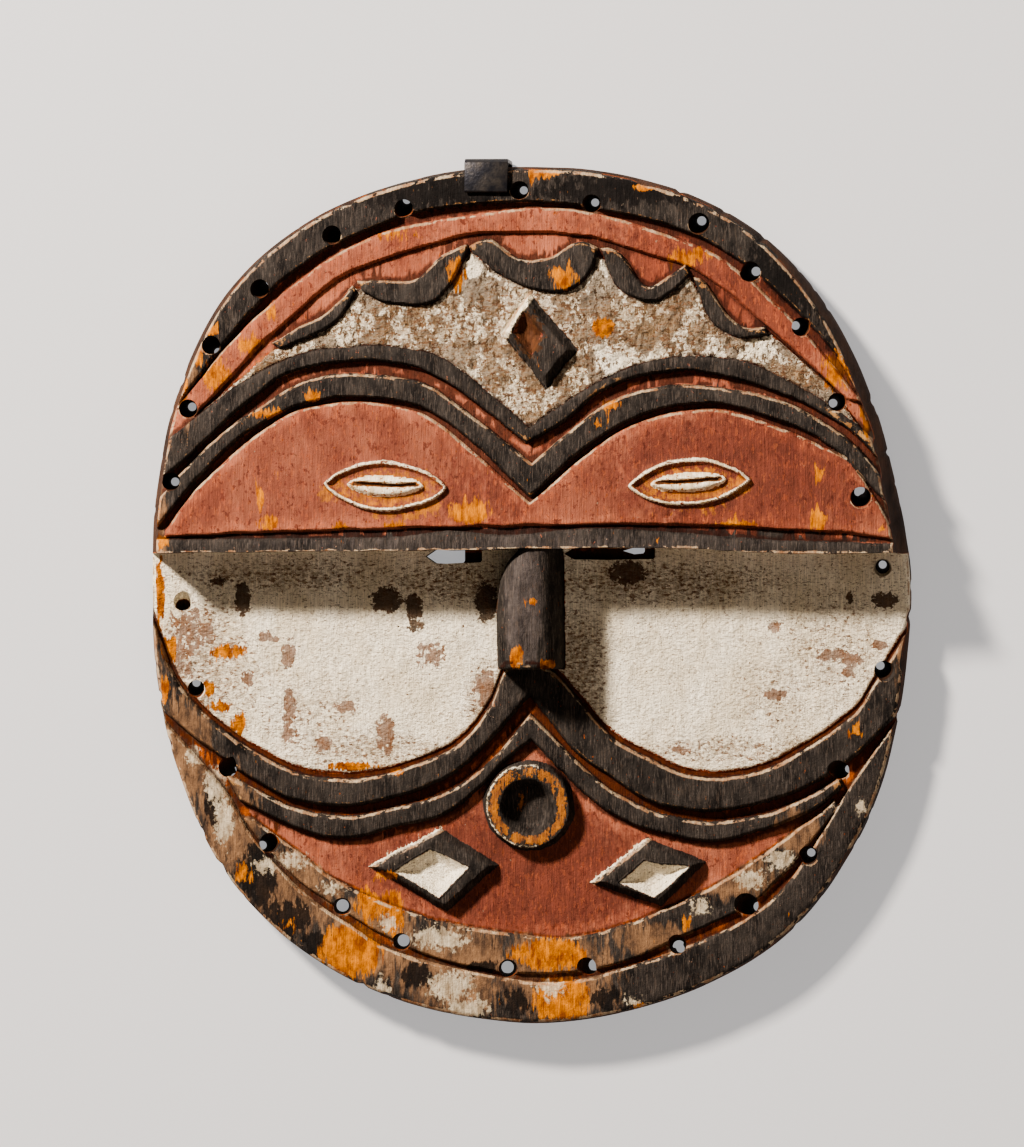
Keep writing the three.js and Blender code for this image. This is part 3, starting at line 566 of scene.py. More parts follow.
# Worn and stained spots, and spots of painted shade, by attribute: middle, half width, half height and, where
# it isn't 1, strength
SPOTS: dict[str, list[tuple[float, ...]]] = {
    # Bare orange wood where the paint has gone
    "bare_spot": [
        (-24.5, 33, 9.5, 5), (-105.5, 29, 5, 3), (-108.5, 39, 2, 5.5), (-76.5, 27, 3.5, 1),
        (-55.5, 28.5, 5, 1.5), (114, 30, 3.5, 5), (114, 47.5, 2.5, 2.5), (82, 28.5, 9, 1),
        (138, 26.5, 3, 1), (5.5, 169, 7, 2), (45.5, 163, 5.5, 1.5), (-128.5, 106, 2.5, 2.5),
        (-134, 97, 2, 5), (-140, 84, 2, 8), (-150, 40, 1.5, 12), (-148, 21, 3.5, 3), (-150, 0, 2, 16),
        (-146, -22, 3.5, 6), (-148, -38, 2, 6), (-122.5, -23, 8, 3, 0.8), (-130.5, -38, 3, 3.5, 0.8),
        (-126, -45, 5.5, 2.5, 0.7), (-118, -52, 3.5, 4.5, 0.8), (-72.5, -69, 12, 2, 0.9),
        (-52.5, 144, 9.5, 2.5, 0.7), (-104.5, 113, 3, 3.5, 0.7), (-112.5, 100, 5, 4.5, 0.7),
        (-126.5, 88, 6.5, 6.5, 0.75), (63.5, 135, 9.5, 4, 0.7), (121.5, 89, 6, 8, 0.8),
        (134, 72, 3, 10), (-88, 79, 3.5, 2), (-105.5, 72.5, 7, 2.5, 0.7), (31.5, 76, 4, 2),
        (27.5, 68, 3.5, 2, 0.7), (51.5, 22, 4, 1.5), (-6, -24.5, 3, 5), (6.5, -27.5, 4, 2),
        (0, -2.5, 2.5, 2, 0.8), (7.5, -144, 16, 7, 1.2), (-56, -128, 5.5, 9.5, 0.9),
        (-66, -124, 5.5, 6.5), (-72.5, -143, 13, 12, 1.3), (12, -162, 13, 9.5, 1.2),
        (43.5, -165, 3.5, 2), (28.5, 107, 5, 4.5), (-30, 128, 4, 7, 0.8), (12, 127, 6.5, 5, 0.7),
        (-58.5, -112.5, 5, 2), (-98.5, -132, 4, 3, 0.6), (-116.5, -112, 4, 4, 0.7),
        (-54.5, -71, 3, 1.5), (129.5, -54, 4, 3), (61.5, -132, 2.5, 3),
    ],
    # Chalky grey bloom over the lower rim and the chin band
    "chalk_spot": [
        (-127.5, -76, 5, 9), (-124, -91, 4.5, 10.5), (-136.5, -65, 3.5, 5), (-108, -109, 5.5, 4),
        (-32.5, -156.5, 11, 6.5), (-24.5, -166, 10.5, 3.5), (-60, -158, 4, 3.5), (7.5, -158, 7, 4, 0.8),
        (40, -162, 5, 2.5), (132, -84.5, 3, 3), (-36.5, -138, 13.5, 5), (-57.5, -132, 4, 4),
        (100, -106, 7, 5), (88, -114, 7, 4.5), (67.5, -124.5, 5, 3.5), (-96.5, -107, 8, 4, 0.7),
        (-80.5, -118, 6.5, 3, 0.7), (-133, 101, 4, 3),
    ],
    # Dark flaked spots in the chalk of the cheeks, and painted shade in the pit of the forehead's lozenge
    "dark_flake_and_shade_spot": [
        (-58.5, -2, 7, 5.5), (-47.5, -5, 3.5, 6), (-116.5, -2, 3.5, 7), (38.5, 9, 8, 5.5),
        (-18, -3, 5, 8), (-126.5, 5, 3.5, 2), (-46.5, -12, 3.5, 3, 0.7), (141.5, -2, 5.5, 3.5, 0.9),
        (127.5, -1, 1.5, 3), (-0.8, 104, 5.8, 9.5),
    ],
    # Grey-brown scuffs in the chalk of the cheeks
    "scuff_spot": [
        (-98, -24, 3, 6.5), (-106, -17, 5, 2.5), (-97.5, -45, 3, 9), (-58.5, -56, 4, 9.5),
        (-97.5, -56, 3.5, 4, 0.8), (128, -26, 5.5, 3), (139.5, -20, 5, 2), (98, -40, 5, 2.5),
        (-136.5, -14, 9, 9, 0.6), (-40.5, -24, 6.5, 5, 0.6), (-18.5, -38, 5, 9, 0.8),
        (-74.5, -45, 5, 3), (-114.5, -34, 3, 4), (-140.5, -26, 5.5, 9, 0.6), (98, -13, 3, 2.5),
        (121, -24, 8, 2.5), (127, -31, 3, 2), (-84, -60, 4, 3), (60, -62, 5, 2, 0.8),
    ],
    # Weathered brown wood that shows through the soot of the rim and the chin band
    "weathered_spot": [
        (-140, -62, 14, 26), (-122, -92, 16, 26), (-96, -118, 22, 22), (-66, -138, 26, 20),
        (-30, -150, 30, 22), (10, -152, 30, 22), (48, -138, 22, 8), (84, -114, 20, 10),
        (108, -95, 12, 12), (-150, 10, 6, 60, 0.6), (150, -20, 5, 40, 0.7), (-140, 84, 8, 20, 0.7),
    ],
    # Thick soot on the top of the rim, and its flakes that stay on the weathered rim
    "char_spot": [
        (-110, -112, 9, 13), (-98, -130, 10, 9), (-128, -84, 4, 12), (-84, -141, 8, 6),
        (-46, -153, 7, 6), (-6, -163, 8, 6), (30, -162, 7, 5), (-60, -168, 14, 3), (-119, -60, 6, 5),
        (-20, -150, 8, 3), (-40, 162, 40, 8, 0.8), (40, 162, 46, 7, 0.8), (100, 125, 16, 22, 0.7),
        (120, 92, 8, 16, 0.6),
    ],
    # Grey bloom on the bar and the nose
    "bloom_spot": [
        (0, 20.5, 158, 6, 0.3), (-3, -5, 9, 28),
    ],
    # Brown grime worked into the chalk, thickest on the forehead, and painted shade on the cheeks under the
    # bar and right of the nose
    "grime_and_shade_spot": [
        (-45, 108, 46, 15, 0.8), (0, 100, 34, 34, 0.9), (50, 108, 50, 16, 0.8), (-100, 92, 34, 12, 0.8),
        # The wide spots just under the bar and the one right of the nose are painted shade
        (105, 88, 26, 10, 0.8), (0, 75, 16, 14, 0.8), (-132, -30, 22, 34, 0.65), (-30, 5, 36, 9, 0.6),
        (50, 5, 60, 10, 0.6), (-100, 8, 50, 8, 0.5), (-66, -62, 40, 8, 0.6), (80, -62, 44, 7, 0.5),
        (-18, -42, 10, 18, 0.8), (20, -30, 12, 30, 0.7), (122, -22, 26, 24, 0.3),
        (-122, -38, 22, 24, 0.3), (98, -42, 16, 18, 0.3), (-90, -52, 24, 20, 0.3),
    ],
    # Thicker, deeper red, and painted shade that darkens the red on the right of the face, away from the
    # light
    "deep_red_and_shade_spot": [
        (85, 48, 62, 34, 0.9), (-4, -112, 70, 34, 0.8), (80, 124, 70, 44), (-20, 38, 26, 22, 0.5),
        (-60, 150, 30, 10, 0.5),
    ],
    # Ochre rubbed into the eyes and round the mouth's ring
    "ochre_spot": [
        (-58.5, 42.5, 24, 8.5, 0.8), (62.7, 44, 24, 8, 0.8), (-40, 36, 9, 3.5), (-82, 40, 4, 4),
        (84, 44, 4, 5), (-52, 31.5, 16, 1.8), (66, 33.5, 14, 1.6), (-4, -83, 2.2, 4.5, 0.9),
    ],
}


@dataclass(frozen=True)
class Coat:
    """A layer of the finish, laid where a guide attribute passes from start to full.

    Its colour drifts between two tones over patches as wide as mottle. Its edge wanders by ragged,
    in steps as wide as grain and longer along Y by stretch. Where chipped isn't 0, the coat stays
    only where noise of the chips' size and stretch is above it.
    """

    guide: str
    start: float
    full: float
    tones: tuple[str, str]
    mottle: float = 6.0
    ragged: float = 0.0
    grain: float = 2.0
    stretch: float = 1.0
    strength: float = 1.0
    chipped: float = 0.0
    chip_size: float = 3.0
    chip_stretch: float = 2.2


@dataclass(frozen=True)
class PaintedWood:
    """Old tropical hardwood, adzed by hand and painted with soot, red earth and chalk.

    Matt earth pigment bound with little glue: no gloss, ragged edges and bare orange wood where
    it has rubbed off. The grain runs from chin to forehead.
    """

    name: str = "hewn painted hardwood"
    wood: tuple[str, str] = ("#4a3020", "#2c1d15")
    roughness: float = 0.82
    # Earth pigment bound with little glue hardly shines
    specular: float = 0.12
    # How sharply a chip ends, and how rough each noise is from one octave to the next
    chip_edge: float = 0.012
    octave_share: float = 0.66
    coats: tuple[Coat, ...] = (
        # The rubbed surface of the wood, which cut walls and deep places lack
        Coat("skin", -1.2, -0.4, ("#a0521c", "#4a2212"), 4, 0.8, 3, 3),
        # Red earth: first coat, thick places with painted shade on the right, light flakes, dark flecks and
        # shade
        Coat(Paint.RED.value, -0.5, 0.2, ("#9c614c", "#7a4535"), 14, 0.5, 1.4, 2.5, 1, 0.33, 1.4),
        # Deeper red, and painted shade on the right of the face
        Coat("deep_red_and_shade_spot", 0.0, 0.6, ("#7c4232", "#5a3026"), 6, 0.5, 2, 2, 0.85),
        Coat(Paint.RED.value, 0.4, 1.2, ("#c4714a", "#b05a3a"), 5, 0.6, 1.4, 3, 0.35, 0.58, 1.1, 3),
        Coat(Paint.RED.value, 0.4, 1.2, ("#4a2018", "#5c2a1e"), 5, 0.6, 1.4, 3, 0.7, 0.6, 2, 1.5),
        Coat(Paint.RED.value, 2.4, 6.0, ("#58302a", "#43241f"), 3, 3.4, 6, 1.6, 0.4),
        # Chalk: the stain at its edge, its brown ground, the coat, and its dark crumbs
        Coat(Paint.CHALK.value, -0.9, -0.2, ("#a8552c", "#7a3420"), 4, 0.7, 2),
        Coat(Paint.CHALK.value, 1.0, 1.8, ("#6b5442", "#4c3a2d"), 4, 0.9, 1.6),
        Coat(Paint.CHALK.value, 0.2, 0.6, ("#f8efdc", "#e4d8c0"), 12, 0.9, 1.4, 0.8, 1, 0.335, 2, 0.6),
        Coat("cheek_crust", 0.5, 1.2, ("#9a8672", "#6b5644"), 4, 0.6, 1.4, 1, 0.7, 0.59, 1.8, 0.35),
        Coat(Paint.CHALK.value, 0.5, 1.2, ("#5a4636", "#3e2e24"), 4, 0.6, 1.4, 1, 0.8, 0.65, 0.9, 1),
        # Crust of the forehead's chalk, and the grime in both halves, with painted shade under the bar and
        # right of the nose
        Coat("forehead_crust", 0.2, 0.8, ("#958776", "#63554a"), 7, 0.8, 1.6, 2, 0.9, 0.48, 11, 1.3),
        Coat("forehead_crust", 0.2, 0.8, ("#382a20", "#54412f"), 3, 0.8, 1.2, 1, 0.9, 0.565, 1.6, 2),
        Coat("grime_and_shade_spot", 0.0, 1.0, ("#8a6c4c", "#5f4630"), 3, 0.9, 2, 0.6, 0.65),
        Coat("grime_and_shade_spot", 0.05, 0.4, ("#7d5c44", "#563a2a"), 4, 0.6, 1.8, 1, 0.85, 0.56, 2.6, 0.5),
        # Soot: the coat, its bloom and worn threads of grain
        Coat(Paint.SOOT.value, -0.3, 0.2, ("#37322f", "#1a1716"), 6, 0.4, 1.4, 5, 1, 0.31, 1.2),
        Coat("bloom_spot", 0.0, 0.6, ("#57504e", "#312c2c"), 4, 0.3, 1.4, 5, 0.8),
        Coat(Paint.SOOT.value, 0.2, 0.6, ("#6d645e", "#57493f"), 3, 0.3, 1.4, 5, 0.3, 0.55, 0.5, 9),
        # What weather and hands left over all three
        Coat("weathered_spot", 0.1, 0.7, ("#8c6b50", "#4c3a2e"), 4, 0.7, 2, 5, 0.9),
        Coat("char_spot", 0.0, 0.4, ("#181413", "#0c0a0a"), 3, 0.8, 2.2, 2.5, 0.92),
        Coat("ochre_spot", 0.1, 0.6, ("#b4702a", "#75482a"), 3, 0.7, 1.6, 1.5, 0.9),
        Coat("scuff_spot", 0.15, 0.27, ("#8f7a6c", "#70462a"), 4, 0.95, 2.4, 1.2, 0.9),
        # Dark flakes, and painted shade in the forehead lozenge's pit and the eyes' slits
        Coat("dark_flake_and_shade_spot", 0.05, 0.2, ("#3a271c", "#54361f"), 3, 0.8, 2, 1, 0.9),
        Coat("bare_spot", 0.0, 0.3, ("#c47a22", "#743c12"), 3, 0.8, 1.4, 6),
        Coat("chalk_spot", 0.0, 0.6, ("#c9bda6", "#8f7f6a"), 3, 0.9, 1.4, 1.4, 0.85),
        # White on the lids with painted highlight on sides that face the light, worn edges with painted
        # highlight on the upper ones, and painted shade in the grooves
        Coat("white_and_highlight", 0.0, 0.5, ("#efe6d2", "#bda988"), 4, 0.5, 1.4, 1, 0.95, 0.4, 2.2, 1),
        Coat("ridge", 1.5, 1.8, ("#a9855c", "#8a5a30"), 3, 0.25, 1.2, 1.5, 0.85, 0.5, 3, 1),
        # Worn edges, and painted highlight on the upper edges that face the light
        Coat("worn_and_lit_edge", -0.75, -0.35, ("#b5a48c", "#8e6446"), 4, 0.35, 2, 1, 0.8, 0.47, 8, 1),
        # Painted shade, darkest where a point lies furthest under the relief round it
        Coat("cavity", 0.5, 1.3, ("#1c0d08", "#35150c"), 4, 0.3, 3, 1, 0.8),
    )

    def build(self) -> bpy.types.Material:
        """Builds the material.

        Returns:
            The material, with its grain, crust and grit as bump.
        """
        material, tree, place = new_material(self.name)
        color = self._tone(tree, place, self.wood, 12, 6)
        for number, coat in enumerate(self.coats):
            color = self._lay(tree, place, coat, color, number)
        light = add_node(tree, "ShaderNodeMapRange", {
            0: self._fibres(tree, place), 1: 0.3, 2: 0.7, 3: 0.76, 4: 1.2,
        })
        color = add_node(tree, "ShaderNodeVectorMath", {0: color, "Scale": light}, operation="SCALE")
        rough = add_node(tree, "ShaderNodeMapRange", {
            0: self._noise(tree, place, 2.5, 3, 91), 3: self.roughness - 0.14, 4: self.roughness + 0.1,
        })
        shader = add_node(tree, "ShaderNodeBsdfPrincipled", {
            "Base Color": color, "Roughness": rough, "Normal": self._bump(tree, place),
            "Specular IOR Level": self.specular,
        })
        add_node(tree, "ShaderNodeOutputMaterial", {"Surface": shader})
        return material

    def _fibres(self, tree: bpy.types.NodeTree, place: bpy.types.NodeSocket) -> bpy.types.NodeSocket:
        """Adds the wood's fibres, drawn about half a millimetre wide so that they show."""
        return self._noise(tree, place, 0.55, 16, 77, 3)

    def _noise(self, tree: bpy.types.NodeTree, place: bpy.types.NodeSocket, size: float, stretch: float,
               seed: float, detail: float = 3.0) -> bpy.types.NodeSocket:
        """Adds noise with bumps of a size in millimetres, longer along Y by a stretch."""
        name = f"{size} x {stretch} mm, {seed}"
        if name not in tree.nodes:
            turned = add_node(tree, "ShaderNodeMapping", {
                "Vector": place, "Location": (seed * 0.013, seed * 0.029, seed * 0.007),
                "Scale": (1 / size, 1 / (size * stretch), 1 / (size * stretch)),
            })
            add_node(tree, "ShaderNodeTexNoise", {
                "Vector": turned, "Scale": 1 / MM, "Detail": detail, "Roughness": self.octave_share,
            }, name=name)
        return tree.nodes[name].outputs["Fac"]

    def _tone(self, tree: bpy.types.NodeTree, place: bpy.types.NodeSocket, tones: tuple[str, str],
              size: float, seed: float) -> bpy.types.NodeSocket:
        """Adds a colour that drifts between two tones."""
        drift = self._noise(tree, place, size, 2, seed, 4)
        share = add_node(tree, "ShaderNodeMapRange", {0: drift, 1: 0.36, 2: 0.64})
        return add_node(tree, "ShaderNodeMix", {
            0: share, 6: linear(tones[0]), 7: linear(tones[1]),
        }, data_type="RGBA").outputs[2]

    def _lay(self, tree: bpy.types.NodeTree, place: bpy.types.NodeSocket, coat: Coat,
             under: bpy.types.NodeSocket, number: int) -> bpy.types.NodeSocket:
        """Lays one coat over the colour under it.

        Args:
            tree: the material's tree.
            place: the Object coordinates.
            coat: the coat.
            under: the colour so far.
            number: the coat's number, which turns its noise.

        Returns:
            The colour with the coat on it.
        """
        guide = add_node(tree, "ShaderNodeAttribute", attribute_name=coat.guide).outputs["Fac"]
        moved = add_node(tree, "ShaderNodeMath", {
            0: self._noise(tree, place, coat.grain, coat.stretch, 3, 4), 1: 4 * coat.ragged, 2: guide,
        }, operation="MULTIPLY_ADD")
        cover = add_node(tree, "ShaderNodeMapRange", {
            0: moved, 1: coat.start + 2 * coat.ragged, 2: coat.full + 2 * coat.ragged, 4: coat.strength,
        }, interpolation_type="SMOOTHSTEP")
        if coat.chipped:
            left = add_node(tree, "ShaderNodeMapRange", {
                0: self._noise(tree, place, coat.chip_size, coat.chip_stretch, 40 + number, 4),
                1: coat.chipped - self.chip_edge, 2: coat.chipped + self.chip_edge,
            })
            cover = add_node(tree, "ShaderNodeMath", {0: cover, 1: left}, operation="MULTIPLY")
        color = self._tone(tree, place, coat.tones, coat.mottle, 60)
        return add_node(tree, "ShaderNodeMix", {0: cover, 6: under, 7: color}, data_type="RGBA").outputs[2]

    def _bump(self, tree: bpy.types.NodeTree, place: bpy.types.NodeSocket) -> bpy.types.Node:
        """Adds the bump, as a sum of heights in millimetres: fibres, crust, the forehead's lumps and grit."""
        fibres = self._fibres(tree, place)
        height = add_node(tree, "ShaderNodeMath", {0: fibres, 1: 0.35}, operation="MULTIPLY")
        for guide, low, high, size, seed in (
            (Paint.CHALK.value, 0.3, 1.5, 1.5, 22), ("forehead_crust", 0.0, 2.4, 3.0, 24),
        ):
            inside = add_node(tree, "ShaderNodeAttribute", attribute_name=guide).outputs["Fac"]
            rise = add_node(tree, "ShaderNodeMapRange", {0: inside, 1: -0.5, 2: 0.8, 3: low, 4: high})
            height = add_node(tree, "ShaderNodeMath", {
                0: self._noise(tree, place, size, 0.8, seed, 5), 1: rise, 2: height,
            }, operation="MULTIPLY_ADD")
        height = add_node(tree, "ShaderNodeMath", {
            0: self._noise(tree, place, 0.6, 1, 23, 3), 1: 0.2, 2: height,
        }, operation="MULTIPLY_ADD")
        return add_node(tree, "ShaderNodeBump", {"Strength": 1.0, "Distance": MM, "Height": height})


@dataclass(frozen=True)
class Skin:
    """The points of the finished mesh."""

    x: Array
    y: Array
    z: Array
    # Whether each lies on the forehead half, and whether on the step under the bar
    upper: Array
    step: Array
    # Its place along X in the measured view, and its place there as the knife wandered
    seen: Array
    cut_x: Array
    cut_y: Array


@dataclass(frozen=True)
class Cover:
    """The attributes that the finish follows, one value on each point."""

    layers: dict[str, Array]

    def lift(self, name: str, value: Array | float, here: Array | bool = True) -> None:
        """Raises a layer to a value wherever it is lower."""
        old = self.layers[name]
        self.layers[name] = np.where(here, np.maximum(old, value), old)

    def lower(self, name: str, value: Array | float, here: Array | bool = True) -> None:
        """Lowers a layer to a value wherever it is higher."""
        old = self.layers[name]
        self.layers[name] = np.where(here, np.minimum(old, value), old)


@dataclass
class CarvedMask:
    """The carved wooden mask: one piece of wood, its relief, nose, holes and hollow back."""

    disc: Disc = field(default_factory=Disc)
    hand: HandWork = HandWork(5)
    finish: PaintedWood = PaintedWood()
    # Front surface: a sloping forehead half that overhangs the cheek half
    brow_height: float = 43.5
    forehead_slope: float = 0.156
    forehead_dome: float = 4.5
    cheek_height: float = 17.5
    cheek_dome: float = 1.5
    slope_start: float = 20.0
    dome_reach: float = 150.0
    # Relief levels over that surface
    groove: float = -1.8
    cheek_groove: float = -1.2
    # Grid of the carved front: its cell, half its width and height, its foot, and the step's lean
    cell: float = 0.58
    reach_x: float = 157.0
    reach_y: float = 177.0
    bar_level: int = 17
    block_foot: float = -12.0
    step_lean: float = 0.3
    most_triangles: int = 192000
    # How far lines that leave the disc are drawn past it, and corners that lie past all of it
    overrun: float = 24.0
    past_side: float = 175.0
    past_foot: float = -177.0
    # Place along Y, behind the bar, to which the cheeks' area runs on
    cheek_end: float = 40.0
    # Crust as pairs of depth and width of its bumps
    forehead_bumps: Pairs = ((0.6, 3.1), (0.45, 1.6), (0.4, 7))
    cheek_bumps: Pairs = ((0.22, 2.6), (0.3, 9))
    # Almond eyes: middle, half length and half height, and tilt in degrees
    eyes: tuple = (((-58.5, 43.5), (24.8, 10.4), -2), ((62.7, 45), (24.8, 9.8), 3))
    lid_height: float = 2.4
    lid_fall: float = 2.1
    ball_height: float = 2.4
    slit_depth: float = 1.9
    # Share of the eye's length and of its height that the ball takes
    ball_share: tuple[float, float] = (0.62, 0.42)
    # Mouth ring: its middle, the radii of its foot, its top, its bowl and the bowl's floor, and its heights
    mouth: tuple[float, float] = (-1, -84.5)
    mouth_foot: float = 18.2
    mouth_top: float = 16.4
    mouth_bowl: float = 11.6
    mouth_floor_radius: float = 7.0
    mouth_height: float = 5.6
    mouth_floor: float = -2.4
    # Nose: its squareness, how deep it is set in, and how its blunt end draws in, by place along Y
    nose_squareness: float = 3.4
    nose_root: float = -9.0
    nose_end: Pairs = ((-29.5, 0.9), (-29.2, 0.965), (-28.4, 0.993))
    # Share by which a fixing hole narrows to the back, and shares by which its cutter passes both faces
    bore_taper: float = 0.55
    bore_below: float = 0.5
    bore_above: float = 0.3
    # Hollow of the back: a superellipse, squarer at the forehead's left shoulder, drawn in by height
    hollow_half_width: float = 134.8
    hollow_half_height: float = 154.4
    hollow_wall: Pairs = ((-8, 0), (0.8, 0.6), (2, 1), (6, 1.5), (40, 12))
    hollow_sides: int = 840
    hollow_cell: float = 1.6
    square_shoulder: float = 2.5
    round_shoulder: float = 2.18
    forehead_wall: float = 15.0
    cheek_ceiling: float = 8.0
    hollow_step: float = 30.0
    zones: list[Zone] = field(init=False)
    cheek_zones: list[Zone] = field(init=False)

    def __post_init__(self) -> None:
        """Lays out the raised areas from the measured lines."""
        over, side, foot = self.overrun, self.past_side, self.past_foot
        sky = np.array([(side, side), (-side, side)])
        upper = beyond(cornered(UPPER_BROW_TOP), over), beyond(cornered(UPPER_BROW_FOOT), over)
        lower = beyond(cornered(LOWER_BROW_TOP), over), beyond(cornered(LOWER_BROW_FOOT), over)
        bar = beyond(smooth(BAR_TOP), over), beyond(smooth(BAR_FOOT), over) - (0, 1.4)
        soot, red, chalk = Paint.SOOT, Paint.RED, Paint.CHALK
        self.zones = [
            Zone(np.concatenate([beyond(smooth(RIM_INNER), 30), sky]), 2.4, 1.5, soot),
            Zone(between(beyond(smooth(RED_OUTER), 8), beyond(smooth(RED_INNER), 8)), 0.8, 1.3, red),
            Zone(between(np.array(FOREHEAD_TOP, float), cornered(UPPER_BROW_FOOT)), -0.4, 1.6, chalk),
            *[Zone(between(smooth(top), smooth(foot)), 2.2, 1.5, soot) for top, foot in CRESCENTS],
            Zone(between(*upper), 2.2, 1.6, soot),
            Zone(between(*lower), 2.2, 1.6, soot),
            Zone(between(cornered(EYE_FIELD_TOP), smooth(EYE_FIELD_FOOT) - (0, 1.1)), 0.8, 1.6, red),
            Zone(between(*bar), 1.6, 1.5, soot),
        ]
        cheek_edge = beyond(cornered(JAW_TOP), over) + (0, 2.0)
        cheek_head = [(side, self.cheek_end), (-side, self.cheek_end)]
        ground = np.array([(-side, foot), (side, foot)])
        chin_field = between(cornered(LIP_FOOT) - (0, 0.5), smooth(CHIN_BAND_TOP) + (0, 1.2))
        self.cheek_zones = [
            Zone(np.concatenate([cheek_head, cheek_edge]), 0.0, 1.6, chalk),
            Zone(between(beyond(cornered(JAW_TOP), over), beyond(cornered(JAW_FOOT), over)), 3.2, 2.0, soot),
            Zone(between(cornered(LIP_TOP), cornered(LIP_FOOT)), 2.8, 1.8, soot),
            Zone(chin_field, self.cheek_groove, 1.0, red),
            Zone(between(smooth(CHIN_BAND_TOP), smooth(CHIN_BAND_FOOT)), 1.2, 1.3, soot),
            Zone(np.concatenate([beyond(smooth(LOWER_RIM_TOP), over)[::-1], ground]), 2.0, 1.5, soot),
        ]

    def forehead(self, x: Array, y: Array) -> Array:
        """Height of the forehead half's domed, sloping face."""
        slope = self.forehead_slope * (y - self.slope_start)
        return self.brow_height - slope - self.forehead_dome * (x / self.dome_reach) ** 2

    def cheek(self, x: Array) -> Array:
        """Height of the cheek half's domed face."""
        return self.cheek_height - self.cheek_dome * (x / self.dome_reach) ** 2

    def as_seen(self, x: Array, height: Array) -> Array:
        """Where along X a place at a height shows in the view that the carving was measured in."""
        return x - VIEW_LEAN * (height - VIEW_LEVEL)

    def by_hand(self, x: Array, y: Array) -> tuple[Array, Array]:
        """Shifts places a little, so that cut edges wander as a knife does."""
        slow, quick = 9.0, 2.6
        return (x + 0.4 * self.hand.at(x, y, slow) + 0.15 * self.hand.at(y, x, quick),
                y + 0.4 * self.hand.at(x + 80, y, slow) + 0.15 * self.hand.at(y + 50, x, quick))

    def raised(self, x: Array, y: Array, zones: list[Zone], floor: float) -> Array:
        """Height of the raised areas over their plane."""
        height = np.full(x.shape, floor)
        for zone in zones:
            depth = depth_inside(x, y, zone.area)
            share = 1 - (1 - np.clip(depth / zone.shoulder, 0, 1)) ** 3
            height = np.maximum(height, floor + (zone.level - floor) * share)
        return height

    def lozenge(self, x: Array, y: Array, shape: tuple[Line, Line], level: float, side: float, floor: float,
                pit: float) -> Array:
        """Height of a raised lozenge with a pit in its top.

        Args:
            x: places along X.
            y: places along Y.
            shape: corners of its foot and of its pit.
            level: height of its top.
            side: width of its sloping side.
            floor: height at its foot.
            pit: height of the pit's floor.

        Returns:
            The height, or the floor outside the foot.
        """
        foot, hole = (depth_inside(x, y, part) for part in shape)
        body = floor + (level - floor) * np.clip(foot / side, 0, 1) ** 0.8
        sunk = level - (level - pit) * np.clip((hole + 0.3) / 4.2, 0, 1) ** 0.8
        return np.where(foot > 0, np.minimum(body, sunk), floor)

    def eye(self, x: Array, y: Array, at: tuple[float, float], half: tuple[float, float],
            tilt: float) -> Array:
        """Height of an almond eye over its field: two lids round a slit ball."""
        rim, ball, slit = self.eye_parts(x, y, at, half, tilt)
        lid = self.lid_height * ease(rim, -0.3, 1.0) - self.lid_fall * ease(rim, 1.4, 3.2)
        lens = self.ball_height * ease(ball, -0.4, 1.8)
        return lid + lens - self.slit_depth * slit

    def eye_parts(self, x: Array, y: Array, at: tuple[float, float], half: tuple[float, float],
                  tilt: float) -> tuple[Array, Array, Array]:
        """How far inside the lids and the ball each point lies, and the share of the slit it takes."""
        turn = math.radians(tilt)
        u = (x - at[0]) * math.cos(turn) + (y - at[1]) * math.sin(turn)
        v = (y - at[1]) * math.cos(turn) - (x - at[0]) * math.sin(turn)
        rim = half[1] * np.clip(1 - (u / half[0]) ** 2, 0, 1) ** 0.8 - np.abs(v)
        rim = np.where(np.abs(u) < half[0], rim, half[0] - np.abs(u) - np.abs(v))
        span = np.clip(1 - (u / (half[0] * self.ball_share[0])) ** 2, 0, 1)
        ball = half[1] * self.ball_share[1] * span ** 0.6 - np.abs(v)
        ball = np.where(span > 0, ball, -3)
        slit = ease(span, 0.1, 0.4) * (1 - ease(np.abs(v - 0.5), 0.35, 1.2))
        return np.maximum(rim, -3), ball, slit

    def forehead_relief(self, x: Array, y: Array) -> Array:
        """Height of the forehead half's front, with its crust and tool marks."""
        plane = self.forehead(x, y)
        hx, hy = self.by_hand(self.as_seen(x, plane), y)
        height = self.raised(hx, hy, self.zones, self.groove)
        height = np.maximum(height, self.lozenge(hx, hy, FOREHEAD_LOZENGE, 4.6, 3.4, self.groove, -1.2))
        for at, half, tilt in self.eyes:
            height = height + self.eye(hx, hy, at, half, tilt)
        chalk = ease(depth_inside(hx, hy, self.zones[2].area), -0.5, 1.5) * (height < 0.2)
        crust = sum(depth * self.hand.at(x, y, width) for depth, width in self.forehead_bumps)
        return plane + height + chalk * crust + self.tool_marks(x, y, plane + 2)

